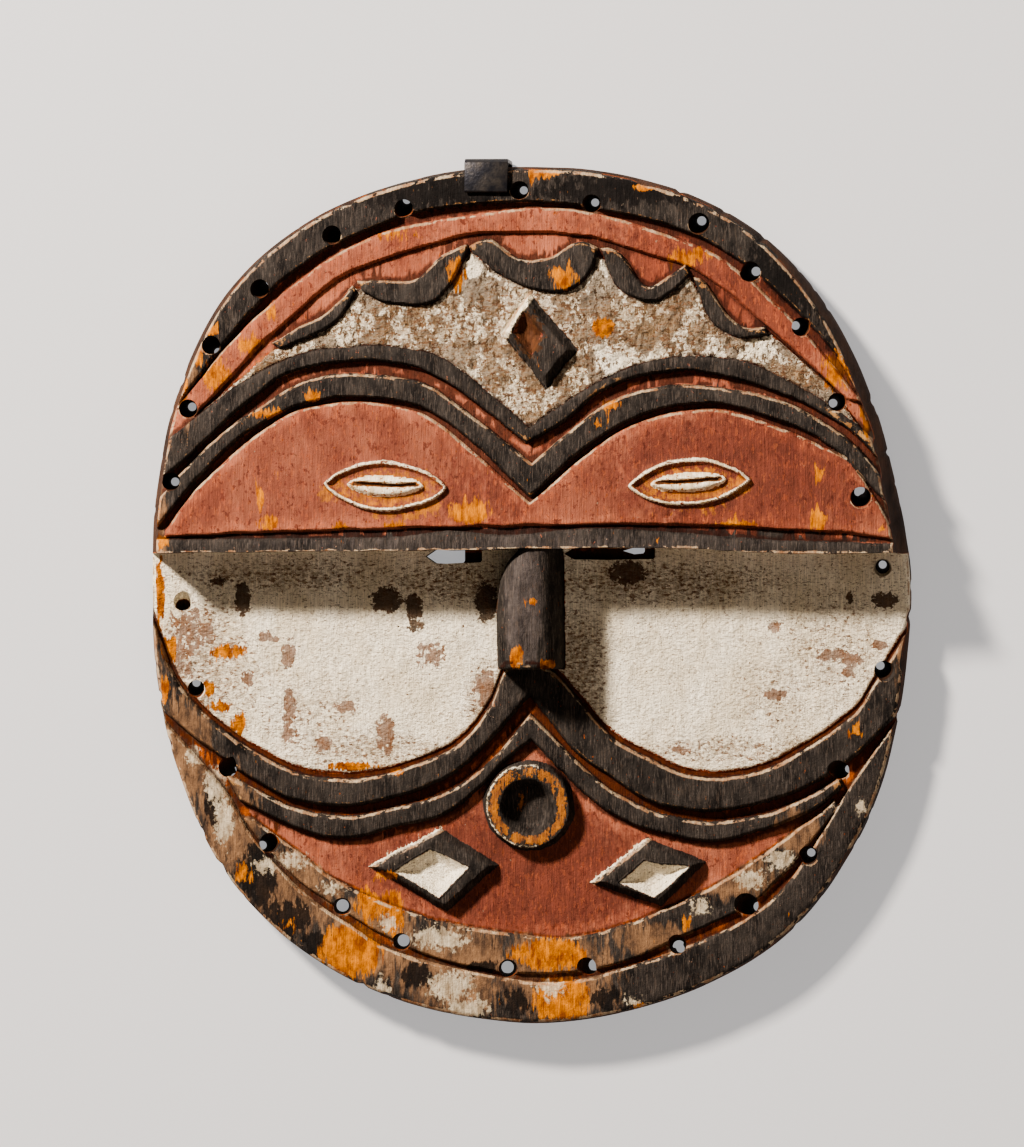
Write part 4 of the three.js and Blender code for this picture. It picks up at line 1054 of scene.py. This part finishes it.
    def cheek_relief(self, x: Array, y: Array) -> Array:
        """Height of the cheek half's front, with its crust and tool marks."""
        plane = self.cheek(x)
        hx, hy = self.by_hand(self.as_seen(x, plane), y)
        height = self.raised(hx, hy, self.cheek_zones, self.cheek_groove)
        for shape in CHEEK_LOZENGES:
            height = np.maximum(height, self.lozenge(hx, hy, shape, 4.8, 2.6, self.cheek_groove, -0.4))
        radius = np.hypot(hx - self.mouth[0], hy - self.mouth[1])
        wall = ease(radius, self.mouth_foot, self.mouth_top)
        ring = self.cheek_groove + (self.mouth_height - self.cheek_groove) * wall
        share = ease(radius, self.mouth_floor_radius, self.mouth_bowl)
        bowl = self.mouth_floor + (self.mouth_height - self.mouth_floor) * share
        height = np.where(radius < self.mouth_foot, np.maximum(height, np.minimum(ring, bowl)), height)
        height = np.where(radius < self.mouth_top, np.minimum(ring, bowl), height)
        chalk = ease(depth_inside(hx, hy, self.cheek_zones[0].area), -0.5, 1.5)
        crust = sum(depth * self.hand.at(x, y, width) for depth, width in self.cheek_bumps)
        return plane + height + chalk * crust + self.tool_marks(x, y, plane + 2)

    def tool_marks(self, x: Array, y: Array, level: Array) -> Array:
        """Shallow facets that the adze left, and the worn fall of the outer edge."""
        marks = 0.22 * self.hand.at(x, y, 9, 1.6) + 0.1 * self.hand.at(x + 30, y, 3, 4) - 0.35
        edge = np.clip(1 - self.disc.edge_distance(x, y, level) / 1.8, 0, 2)
        return marks - 0.9 * edge ** 2

    def foot_line(self, x: Array) -> Array:
        """Place along Y of the bar's lower edge."""
        line = beyond(smooth(BAR_FOOT), 30)
        return np.interp(x, line[:, 0], line[:, 1]) + 0.25 * self.hand.at(x, x * 0, 6)

    def front(self) -> bpy.types.Object:
        """The block with its carved front, stepped at the bar."""
        columns = np.arange(-self.reach_x, self.reach_x + self.cell, self.cell)
        foot, lean = self.foot_line(columns), self.step_lean
        low_rows = int((self.reach_y + self.bar_level) / self.cell)
        high_rows = int((self.reach_y - self.bar_level) / self.cell)
        low = np.linspace(0, 1, low_rows)[:, None]
        high = np.linspace(0, 1, high_rows)[:, None]
        x_low = np.broadcast_to(columns, (low_rows, len(columns)))
        y_low = -self.reach_y + low * (foot - lean + self.reach_y)
        x_high = np.broadcast_to(columns, (high_rows, len(columns)))
        y_high = foot + high * (self.reach_y - foot)
        z_low, z_high = self.cheek_relief(x_low, y_low), self.forehead_relief(x_high, y_high)
        rows = [np.stack([x_low, y_low, z_low], -1)]
        for share in (0.2, 0.4, 0.6, 0.8, 0.95):
            wall = z_low[-1] + (z_high[0] - z_low[-1]) * share
            rows.append(np.stack([columns, foot - lean * (1 - share), wall], -1)[None])
        rows.append(np.stack([x_high, y_high, z_high], -1))
        return grid_solid("front", np.concatenate(rows), self.block_foot)

    def nose(self) -> bpy.types.Object:
        """The nose, a bar with a rounded front and a blunt end."""
        stations = np.array(NOSE_STATIONS)
        shaft = [(y, 1.0) for y in np.linspace(-27, stations[-1, 0], 34)]
        angle = np.linspace(0, np.pi, 37)
        across = np.sign(np.cos(angle)) * np.abs(np.cos(angle)) ** (2 / self.nose_squareness)
        up = np.abs(np.sin(angle)) ** (2 / self.nose_squareness)
        rings = []
        for y, scale in (*self.nose_end, *shaft):
            left, right, height = (np.interp(y, stations[:, 0], stations[:, k]) for k in (1, 2, 3))
            middle, half = (left + right) / 2, (right - left) / 2 * scale
            middle += VIEW_LEAN * (self.cheek_height - VIEW_LEVEL)
            x = np.concatenate([[middle + half, middle - half], middle - half * across])
            z = np.concatenate([[self.nose_root] * 2, height * scale * up]) + self.cheek_height - 0.4
            worn = 0.3 * self.hand.at(x * 2, np.full(len(x), y), 6) - 0.3
            z[2:] = z[2:] + worn[2:]
            rings.append(np.stack([x, np.full(len(x), y), z], -1))
        return loft("nose", np.stack(rings))

    def hollow(self) -> bpy.types.Object:
        """The hollow for the wearer's face, as the gouge left it."""
        x, y = np.meshgrid(np.arange(-140, 141, self.hollow_cell), np.arange(-160, 161, self.hollow_cell))
        deep = self.forehead(x, y) - self.forehead_wall
        share = ease(y, self.hollow_step - 3, self.hollow_step + 3)
        ceiling = self.cheek_ceiling + (deep - self.cheek_ceiling) * share
        gouged = 0.5 * self.hand.at(x, y, 11, 1.8) + 0.2 * self.hand.at(x + 60, y, 4, 2)
        cavity = grid_solid("hollow", np.stack([x, y, ceiling - 0.6 + gouged], -1), -6)
        angle = np.linspace(0, 2 * np.pi, self.hollow_sides, endpoint=False)
        across, along = np.cos(angle), np.sin(angle)
        power = 2 / np.where((across < 0) & (along > 0), self.square_shoulder, self.round_shoulder)
        rings = []
        for z, inset in self.hollow_wall:
            rings.append(np.column_stack([
                (self.hollow_half_width - inset) * np.sign(across) * np.abs(across) ** power,
                (self.hollow_half_height - inset) * np.sign(along) * np.abs(along) ** power,
                np.full(len(angle), z),
            ]))
        combine(cavity, loft("dish", np.stack(rings)), "INTERSECT")
        return cavity

    def slits(self) -> list[bpy.types.Object]:
        """The eye slits under the bar, pointed at their left ends: grooves, and the cuts through them."""
        made = []
        for slots, foot in ((EYE_GROOVES, self.cheek_height - 6), (EYE_CUTS, -4.0)):
            for left, right, low, high in slots:
                corners = np.array([
                    (left, (low + high) / 2), (left + 4, low), ((left + right) / 2, low - 0.2),
                    (right - 0.6, low + 0.2), (right, low + 1), (right, high), (left + 4, high),
                ])
                rings = [np.column_stack([corners, np.full(len(corners), z)])
                         for z in (foot, self.cheek_height + 3)]
                made.append(loft("slit", np.stack(rings)))
        return made

    def clip_seat(self) -> bpy.types.Object:
        """The shallow seat in the back for the clip's rear leg."""
        corners = np.array([(-27.6, 161.4), (-8.9, 161.4), (-8.9, 176), (-27.6, 176)])
        return loft("seat", np.stack([np.column_stack([corners, np.full(4, z)]) for z in (-3.0, 2.4)]))

    def bore_tree(self) -> bpy.types.NodeTree:
        """The node tree that stands a tapered cutter, sized and leaning as told, on each point.

        Returns:
            The tree. Its inputs are the points, the radii of the cutter's two ends and its material.
        """
        tree = bpy.data.node_groups.new("bored holes", "GeometryNodeTree")
        for name, way, kind in (
            ("Points", "INPUT", "Geometry"), ("Low end", "INPUT", "Float"), ("High end", "INPUT", "Float"),
            ("Finish", "INPUT", "Material"), ("Cutters", "OUTPUT", "Geometry"),
        ):
            tree.interface.new_socket(name, in_out=way, socket_type=f"NodeSocket{kind}")
        given = add_node(tree, "NodeGroupInput").outputs
        bore = add_node(tree, "GeometryNodeMeshCone", {
            "Vertices": 28, "Radius Top": given["High end"], "Radius Bottom": given["Low end"],
            "Depth": 1 + self.bore_below + self.bore_above,
        })
        size, lean = (
            add_node(tree, "GeometryNodeInputNamedAttribute", {"Name": name}, data_type="FLOAT_VECTOR")
            for name in ("bore_size", "bore_lean")
        )
        spread = add_node(tree, "GeometryNodeInstanceOnPoints", {
            "Points": add_node(tree, "GeometryNodeMeshToPoints", {"Mesh": given["Points"]}),
            "Instance": bore.outputs["Mesh"], "Rotation": lean.outputs["Attribute"],
            "Scale": size.outputs["Attribute"],
        })
        real = add_node(tree, "GeometryNodeRealizeInstances", {"Geometry": spread})
        dressed = add_node(tree, "GeometryNodeSetMaterial", {"Geometry": real, "Material": given["Finish"]})
        add_node(tree, "NodeGroupOutput", {0: dressed})
        return tree

    def bores(self) -> bpy.types.Object:
        """The fixing holes' cutters, on points below the board that carry their size and lean."""
        x, y, radius, shown_x, shown_y = np.array(RIM_HOLES).T
        front = np.where(y > self.slope_start, self.forehead(x, y), self.cheek(x))
        lean_x, lean_y = shown_x - VIEW_LEAN * front, shown_y
        reach = 1 + self.bore_below
        foot = np.stack([x + reach * lean_x, y + reach * lean_y, -self.bore_below * front], -1)
        made = make_object("bores", foot, np.zeros((0, 4), int), np.zeros((0, 3), int))
        size = np.stack([radius, radius, front], -1) * MM
        turned = np.stack([lean_y / front, -lean_x / front, np.zeros(len(x))], -1)
        for name, rows in (("bore_size", size), ("bore_lean", turned)):
            attribute = made.data.attributes.new(name, "FLOAT_VECTOR", "POINT")
            attribute.data.foreach_set("vector", rows.astype(np.float32).ravel())
        modifier = made.modifiers.new("bored holes", "NODES")
        modifier.node_group = self.bore_tree()
        inputs = {item.name: item.identifier for item in modifier.node_group.interface.items_tree}
        modifier[inputs["Low end"]] = 1 - reach * self.bore_taper
        modifier[inputs["High end"]] = 1 + self.bore_above * self.bore_taper
        settled(made)
        return made

    def build(self) -> bpy.types.Object:
        """Carves the mask and dresses it.

        Returns:
            The finished piece.
        """
        mask = self.front()
        combine(mask, self.nose(), "UNION")
        combine(mask, self.disc.board(), "INTERSECT")
        combine(mask, self.hollow(), "DIFFERENCE")
        combine(mask, self.clip_seat(), "DIFFERENCE")
        for slit in self.slits():
            combine(mask, slit, "DIFFERENCE")
        combine(mask, self.bores(), "DIFFERENCE")
        mask.name = "CarvedMask"
        mask.data.calc_loop_triangles()
        triangles = len(mask.data.loop_triangles)
        thin = mask.modifiers.new("thin", "DECIMATE")
        thin.ratio = min(1.0, self.most_triangles / triangles)
        settled(mask)
        self.guide(mask.data)
        place_and_dress(mask, self.finish.build(), sharp_from=48)
        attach(mask, "root")
        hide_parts("carved_mask")
        return mask

    def guide(self, mesh: bpy.types.Mesh) -> None:
        """Writes the distances and spots that the finish follows on each point."""
        points = np.zeros(len(mesh.vertices) * 3, np.float32)
        mesh.vertices.foreach_get("co", points)
        x, y, z = (points.reshape(-1, 3) / MM).astype(float).T
        foot_line = self.foot_line(x)
        upper = y > foot_line - 0.15
        seen = self.as_seen(x, np.where(upper, self.forehead(x, y), self.cheek(x)))
        skin = Skin(x, y, z, upper, np.abs(y - foot_line) < 0.45, seen, *self.by_hand(seen, y))
        cover = Cover({kind.value: np.full(x.shape, OUTSIDE) for kind in Paint})
        cover.layers["white_and_highlight"] = np.full(x.shape, -1.0)
        for name, listed in SPOTS.items():
            cover.layers[name] = self.spots(self.as_seen(x, z), y, listed)
        self.lay_pigments(skin, cover)
        surface = np.where(upper, self.forehead_relief(x, y), self.cheek_relief(x, y))
        below = np.maximum(surface - z, 0)
        deep = np.where(skin.step, 0.3, below)
        self.lay_wear(skin, cover, below, deep)
        for name, value in cover.layers.items():
            value = np.where(deep > 1, np.minimum(value, 1.4 - 1.2 * deep), value)
            attribute = mesh.attributes.new(name, "FLOAT", "POINT")
            attribute.data.foreach_set("value", value.astype(np.float32))
        attribute = mesh.attributes.new("skin", "FLOAT", "POINT")
        attribute.data.foreach_set("value", (1 - deep).astype(np.float32))

    def lay_pigments(self, skin: Skin, cover: Cover) -> None:
        """Works out how far inside the soot, the red, the chalk and the eyes' white each point lies, and
        where painted highlight and painted shade go.
        """
        soot, red, chalk = (kind.value for kind in (Paint.SOOT, Paint.RED, Paint.CHALK))
        x, y, upper = skin.cut_x, skin.cut_y, skin.upper
        for zones, here in ((self.zones, upper), (self.cheek_zones, ~upper)):
            for zone in zones:
                cover.lift(zone.paint.value, depth_inside(x, y, zone.area), here)
        for at, half, tilt in self.eyes:
            rim, ball, slit = self.eye_parts(x, y, at, half, tilt)
            # Painted shade in each eye's slit
            cover.lift("dark_flake_and_shade_spot", 1.2 * slit - 0.5, upper)
            cover.lift("white_and_highlight", 1 - np.abs(rim - 1.1) / 0.9, upper)
            cover.lift("white_and_highlight", np.where(ball > 0, 0.9 - 1.6 * slit, -1), upper)
        foot, pit = self.lozenge_depths(skin, FOREHEAD_LOZENGE, upper)
        self.paint_lozenge(skin, cover, FOREHEAD_LOZENGE, foot, 1.9)
        cover.lower(chalk, -1, pit > -0.6)
        cover.lower(soot, 0.5 - pit, pit > -3)
        in_pit = np.zeros(x.shape, bool)
        for shape in CHEEK_LOZENGES:
            foot, pit = self.lozenge_depths(skin, shape, ~upper)
            self.paint_lozenge(skin, cover, shape, foot, 0.6)
            cover.lift(chalk, pit + 0.6)
            cover.lower(soot, -pit, pit > -3)
            in_pit |= pit > -1
        radius = np.hypot(x - self.mouth[0], y - self.mouth[1])
        cover.lift(soot, self.mouth_foot - radius, ~upper)
        left_side = ~upper & (x <= self.mouth[0] + 4)
        # Painted highlight on the mouth ring's left outer edge, which faces the light
        cover.lift("white_and_highlight", 0.45 - np.abs(radius - self.mouth_top), left_side)
        cover.lower("ochre_spot", -1, ~upper & (radius >= 8))
        cover.lift("ochre_spot", 1.1 - np.abs(radius - 13.8) / 2.2, ~upper)
        cover.lift(soot, self.nose_depth(skin.seen, skin.y), ~upper)
        # Soot as painted shade in the deep groove between the eye field and the bar
        shaded_groove = upper & (skin.y < 30) & (cover.layers[red] < -0.2)
        cover.lift(soot, 3 - np.abs(skin.y - 25), shaded_groove)
        cover.lift(soot, np.where(skin.z > self.cheek(skin.x) + 3, 0.8, -0.5), skin.step)
        cover.lower(chalk, 0.4 - cover.layers[soot], ~in_pit)
        cover.lift(red, 1.0, upper)

    def lozenge_depths(self, skin: Skin, shape: tuple[Line, Line], here: Array) -> list[Array]:
        """How far inside a lozenge's foot and its pit each point lies."""
        return [np.where(here, depth_inside(skin.cut_x, skin.cut_y, part), OUTSIDE) for part in shape]

    def paint_lozenge(self, skin: Skin, cover: Cover, shape: tuple[Line, Line], foot: Array,
                    rubbed: float) -> None:
        """Blackens a lozenge, and paints highlight on the side that faces up and left, towards the light."""
        cover.lift(Paint.SOOT.value, foot)
        side = distance_to(skin.cut_x, skin.cut_y, shape[0][:2])
        # Painted highlight on the side that faces up and left
        cover.lift("white_and_highlight", rubbed - side / 2.2, foot > -0.3)

    def nose_depth(self, x: Array, y: Array) -> Array:
        """How far inside the nose's outline each point lies."""
        stations = np.array(NOSE_STATIONS)
        left, right = (np.interp(y, stations[:, 0], stations[:, k]) for k in (1, 2))
        return np.minimum.reduce([x - left + 0.4, right - x + 0.4, y + 29.9, 21 - y])

    def lay_wear(self, skin: Skin, cover: Cover, below: Array, deep: Array) -> None:
        """Adds worn edges with painted highlight on those that face the light, painted shade in the grooves,
        and crust, and keeps spots to the paint that they lie on.

        Args:
            skin: the points.
            cover: the layers that change.
            below: how far under the carved front each point lies.
            deep: the same, but small on the step under the bar, which is painted.
        """
        layers, upper = cover.layers, skin.upper
        sunk = self.sunk(skin.seen, skin.y, upper)
        edge = self.disc.edge_distance(skin.x, skin.y, skin.z)
        lip = np.where(upper, np.hypot(skin.y - self.foot_line(skin.x) - 0.3, below), 6.0)
        layers["worn_and_lit_edge"] = -np.minimum.reduce([
            self.worn(skin.cut_x, skin.cut_y, upper), np.hypot(edge - 0.5, 0.8 * deep), lip,
        ])
        # The cavity layer is painted shade in grooves; the ridge layer marks the worn crests
        layers["cavity"], layers["ridge"] = sunk, -sunk
        soot, chalk = layers[Paint.SOOT.value], layers[Paint.CHALK.value]
        layers["forehead_crust"] = np.where(upper, chalk, -1)
        layers["cheek_crust"] = np.where(upper, -1, chalk)
        for name in ("weathered_spot", "char_spot", "bloom_spot"):
            cover.lower(name, -1, soot <= -0.5)
        cover.lower("grime_and_shade_spot", -1, chalk <= -0.5)

    def worn(self, x: Array, y: Array, upper: Array) -> Array:
        """Distance to the nearest edge drawn pale: edges rubbed by handling, and painted highlight on upper
        edges, which face the light, and on the lower half of each hole's mouth.
        """
        forehead_lines = [
            smooth(RED_OUTER) - (0, 0.8), cornered(LOWER_BROW_TOP) - (0, 0.8),
            cornered(EYE_FIELD_TOP) - (0, 0.9), *[smooth(top) - (0, 0.6) for top, _ in CRESCENTS],
            np.array(FOREHEAD_LOZENGE[0][:2], float) + (1, -0.6),
        ]
        cheek_lines = [
            cornered(JAW_TOP) - (0, 1), cornered(LIP_TOP) - (0, 1), smooth(CHIN_BAND_TOP) - (0, 0.8),
            smooth(LOWER_RIM_TOP) - (0, 0.8),
            *[np.array(shape[0][:2], float) + (1.2, -0.8) for shape in CHEEK_LOZENGES],
        ]
        distance = np.full(x.shape, 6.0)
        for lines, here in ((forehead_lines, upper), (cheek_lines, ~upper)):
            for line in lines:
                distance = np.minimum(distance, np.where(here, distance_to(x, y, line), 6.0))
        # Painted highlight on the lower half of each hole's mouth, whose wall faces the light
        for hole_x, hole_y, radius, *_ in RIM_HOLES:
            front = self.forehead(hole_x, hole_y) if hole_y > self.slope_start else self.cheek(hole_x)
            mouth = np.abs(np.hypot(x - self.as_seen(hole_x, front), y - hole_y) - radius)
            distance = np.minimum(distance, np.where(y < hole_y, mouth, 6.0))
        return distance

    def sunk(self, x: Array, y: Array, upper: Array) -> Array:
        """How far each point lies under the mean of the relief round it."""
        def relief(px: Array, py: Array) -> Array:
            """Height of the raised areas of each point's own half."""
            return np.where(upper, self.raised(px, py, self.zones, self.groove),
                            self.raised(px, py, self.cheek_zones, self.cheek_groove))

        mean = np.zeros(x.shape)
        away, count = 2.6, 10
        for turn in np.arange(count) * 2 * np.pi / count:
            mean += relief(x + away * math.cos(turn), y + away * math.sin(turn)) / count
        return mean - relief(x, y)

    def spots(self, x: Array, y: Array, listed: list[tuple[float, ...]]) -> Array:
        """How deep inside the listed spots each point lies, 1 in the middle and 0 at the edge."""
        value = np.full(x.shape, -1.0)
        for middle_x, middle_y, across, along, *strength in listed:
            away = ((x - middle_x) / across) ** 2 + ((y - middle_y) / along) ** 2
            value = np.maximum(value, (strength or [1.0])[0] * np.maximum(1 - away, -1))
        return value


@dataclass(frozen=True)
class DarkMetal:
    """Blackened mild steel strip, bent cold: a thin satin coat rubbed to brown at the bends."""

    name: str = "blackened bent steel"
    coat: tuple[str, str] = ("#24242a", "#3a3634")
    roughness: float = 0.38

    def build(self) -> bpy.types.Material:
        """Builds the material."""
        material, tree, place = new_material(self.name)
        smear = add_node(tree, "ShaderNodeTexNoise", {"Vector": place, "Scale": 260.0, "Detail": 5.0})
        rubbed = add_node(tree, "ShaderNodeMapRange", {0: smear, 1: 0.4, 2: 0.66})
        color = add_node(tree, "ShaderNodeMix", {
            0: rubbed, 6: linear(self.coat[0]), 7: linear(self.coat[1]),
        }, data_type="RGBA").outputs[2]
        rough = add_node(tree, "ShaderNodeMapRange", {
            0: smear, 3: self.roughness - 0.1, 4: self.roughness + 0.2,
        })
        grit = add_node(tree, "ShaderNodeTexNoise", {"Vector": place, "Scale": 1100.0, "Detail": 2.0})
        bump = add_node(tree, "ShaderNodeBump", {"Strength": 1.0, "Distance": 0.08 * MM, "Height": grit})
        shader = add_node(tree, "ShaderNodeBsdfPrincipled", {
            "Base Color": color, "Roughness": rough, "Normal": bump, "Metallic": 0.75,
        })
        add_node(tree, "ShaderNodeOutputMaterial", {"Surface": shader})
        return material


@dataclass
class RimClip:
    """The bent metal strip that hooks over the top of the rim."""

    mask: CarvedMask
    left: float = -27.0
    right: float = -9.5
    lip: float = 161.0
    back: float = 162.0
    crown: float = 174.6
    metal: float = 1.8
    gap: float = 0.4
    seat: float = 2.2
    bend: float = 1.6
    finish: DarkMetal = DarkMetal()

    def profile(self) -> Array:
        """The strip's side view, as places along Y and Z, with rounded bends."""
        def face(y: float) -> float:
            """Height of the strip's underside over the rim."""
            return float(self.mask.forehead(np.array(0.0), np.array(y))) + 2.4 + self.gap

        inner = self.crown - self.metal
        under = self.seat - self.metal - self.gap / 2
        bend = self.bend
        crown_top = face(inner) + self.metal * 0.5
        return np.array([
            (self.back, under), (self.crown - bend, under), (self.crown - bend * 0.3, under + bend * 0.3),
            (self.crown, under + bend), (self.crown, crown_top - bend),
            (self.crown - 0.35, crown_top - bend * 0.35), (self.crown - 1.1, crown_top + 0.25),
            (inner + 0.4, face(inner) + self.metal - 0.15),
            (self.lip + 0.9, face(self.lip + 0.9) + self.metal - 0.1),
            (self.lip + 0.2, face(self.lip) + self.metal * 0.8),
            (self.lip, face(self.lip) + self.metal * 0.5), (self.lip + 0.2, face(self.lip) + 0.25),
            (self.lip + 0.7, face(self.lip) + 0.05), (inner, face(inner)),
            (inner, self.seat - self.gap / 2), (self.back, self.seat - self.gap / 2),
        ])

    def build(self) -> bpy.types.Object:
        """Bends the strip and dresses it.

        Returns:
            The finished piece.
        """
        side = self.profile()
        count = len(side)
        points = np.concatenate([np.column_stack([np.full(count, x), side]) for x in (self.left, self.right)])
        index = np.arange(count)
        after = np.roll(index, -1)
        walls = np.stack([index, index + count, after + count, after], -1)
        clip = make_object("RimClip", points, walls[:, ::-1], np.zeros((0, 3), int))
        self._cap(clip, count)
        bevel = clip.modifiers.new("soft edges", "BEVEL")
        bevel.width = 0.45 * MM
        bevel.segments = 3
        bevel.limit_method = "ANGLE"
        bevel.angle_limit = math.radians(50)
        settled(clip)
        place_and_dress(clip, self.finish.build(), sharp_from=35)
        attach(clip, "root")
        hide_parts("rim_clip")
        return clip

    def _cap(self, clip: bpy.types.Object, count: int) -> None:
        """Closes the two ends of the strip."""
        shape = bmesh.new()
        shape.from_mesh(clip.data)
        bmesh.ops.holes_fill(shape, edges=shape.edges[:], sides=count + 1)
        bmesh.ops.recalc_face_normals(shape, faces=shape.faces[:])
        shape.to_mesh(clip.data)
        shape.free()


@dataclass(frozen=True)
class Studio:
    """The pale floor, the soft lights and the camera above the mask."""

    # 0.4 mm for each of the photograph's 1147 rows
    view_height: float = 0.4588
    distance: float = 3.0
    aim: tuple[float, float, float] = (-0.0078 + SHIFT[0] * MM, 0.0086 + SHIFT[1] * MM, 0.025)
    from_right: float = 4.5
    from_above: float = 0.4
    sensor: float = 36.0
    floor_glow: float = 0.45
    room_light: float = 0.16

    def build(self) -> None:
        """Builds floor, lights and camera."""
        bpy.ops.mesh.primitive_plane_add(size=8, location=(0, 0, -0.0002))
        floor = bpy.context.object
        floor.name = "floor"
        paper = bpy.data.materials.new("pale studio paper")
        paper.use_nodes = True
        shader = paper.node_tree.nodes["Principled BSDF"]
        shader.inputs["Base Color"].default_value = linear("#a9a9ac")
        shader.inputs["Roughness"].default_value = 0.9
        shader.inputs["Emission Color"].default_value = linear("#e4e5e8")
        shader.inputs["Emission Strength"].default_value = self.floor_glow
        floor.data.materials.append(paper)
        self._area("key", azimuth=133, elevation=37, away=2.6, size=0.3, power=205, tint="#fff4e6")
        self._area("fill", azimuth=-50, elevation=60, away=2.6, size=2.0, power=16, tint="#ffead6")
        world = bpy.data.worlds.new("soft room")
        world.use_nodes = True
        back = world.node_tree.nodes["Background"]
        back.inputs["Color"].default_value = linear("#f0e2d2")
        back.inputs["Strength"].default_value = self.room_light
        bpy.context.scene.world = world
        bpy.context.scene.view_settings.look = "AgX - Medium High Contrast"
        self._camera()

    def _area(self, name: str, azimuth: float, elevation: float, away: float, size: float, power: float,
              tint: str) -> None:
        """Adds a square light that faces the mask, at an azimuth from +X and a height angle."""
        turn, rise = math.radians(azimuth), math.radians(elevation)
        light = bpy.data.lights.new(name, "AREA")
        light.size = size
        light.energy = power
        light.color = linear(tint)[:3]
        lamp = bpy.data.objects.new(name, light)
        lamp.location = (away * math.cos(rise) * math.cos(turn), away * math.cos(rise) * math.sin(turn),
                         away * math.sin(rise))
        lamp.rotation_euler = (math.pi / 2 - rise, 0, turn + math.pi / 2)
        bpy.context.scene.collection.objects.link(lamp)

    def _camera(self) -> None:
        """Adds the camera, looking down with the forehead up in the picture."""
        data = bpy.data.cameras.new("camera")
        data.sensor_fit = "VERTICAL"
        data.sensor_height = self.sensor
        data.lens = self.sensor * self.distance / self.view_height
        data.clip_end = 50
        camera = bpy.data.objects.new("camera", data)
        side, up = math.radians(self.from_right), math.radians(self.from_above)
        camera.location = (
            self.aim[0] + self.distance * math.sin(side),
            self.aim[1] + self.distance * math.sin(up),
            self.aim[2] + self.distance * math.cos(side) * math.cos(up),
        )
        camera.rotation_euler = (-up, side, 0)
        bpy.context.scene.collection.objects.link(camera)
        bpy.context.scene.camera = camera


def main() -> None:
    """Builds each piece in order."""
    logging.basicConfig(level=logging.INFO, format="%(name)s: %(message)s")
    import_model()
    mask = CarvedMask()
    for piece in (mask.build(), RimClip(mask).build()):
        piece.data.calc_loop_triangles()
        log.info("%s: %d triangles", piece.name, len(piece.data.loop_triangles))
    Studio().build()


if __name__ == "__main__":
    main()
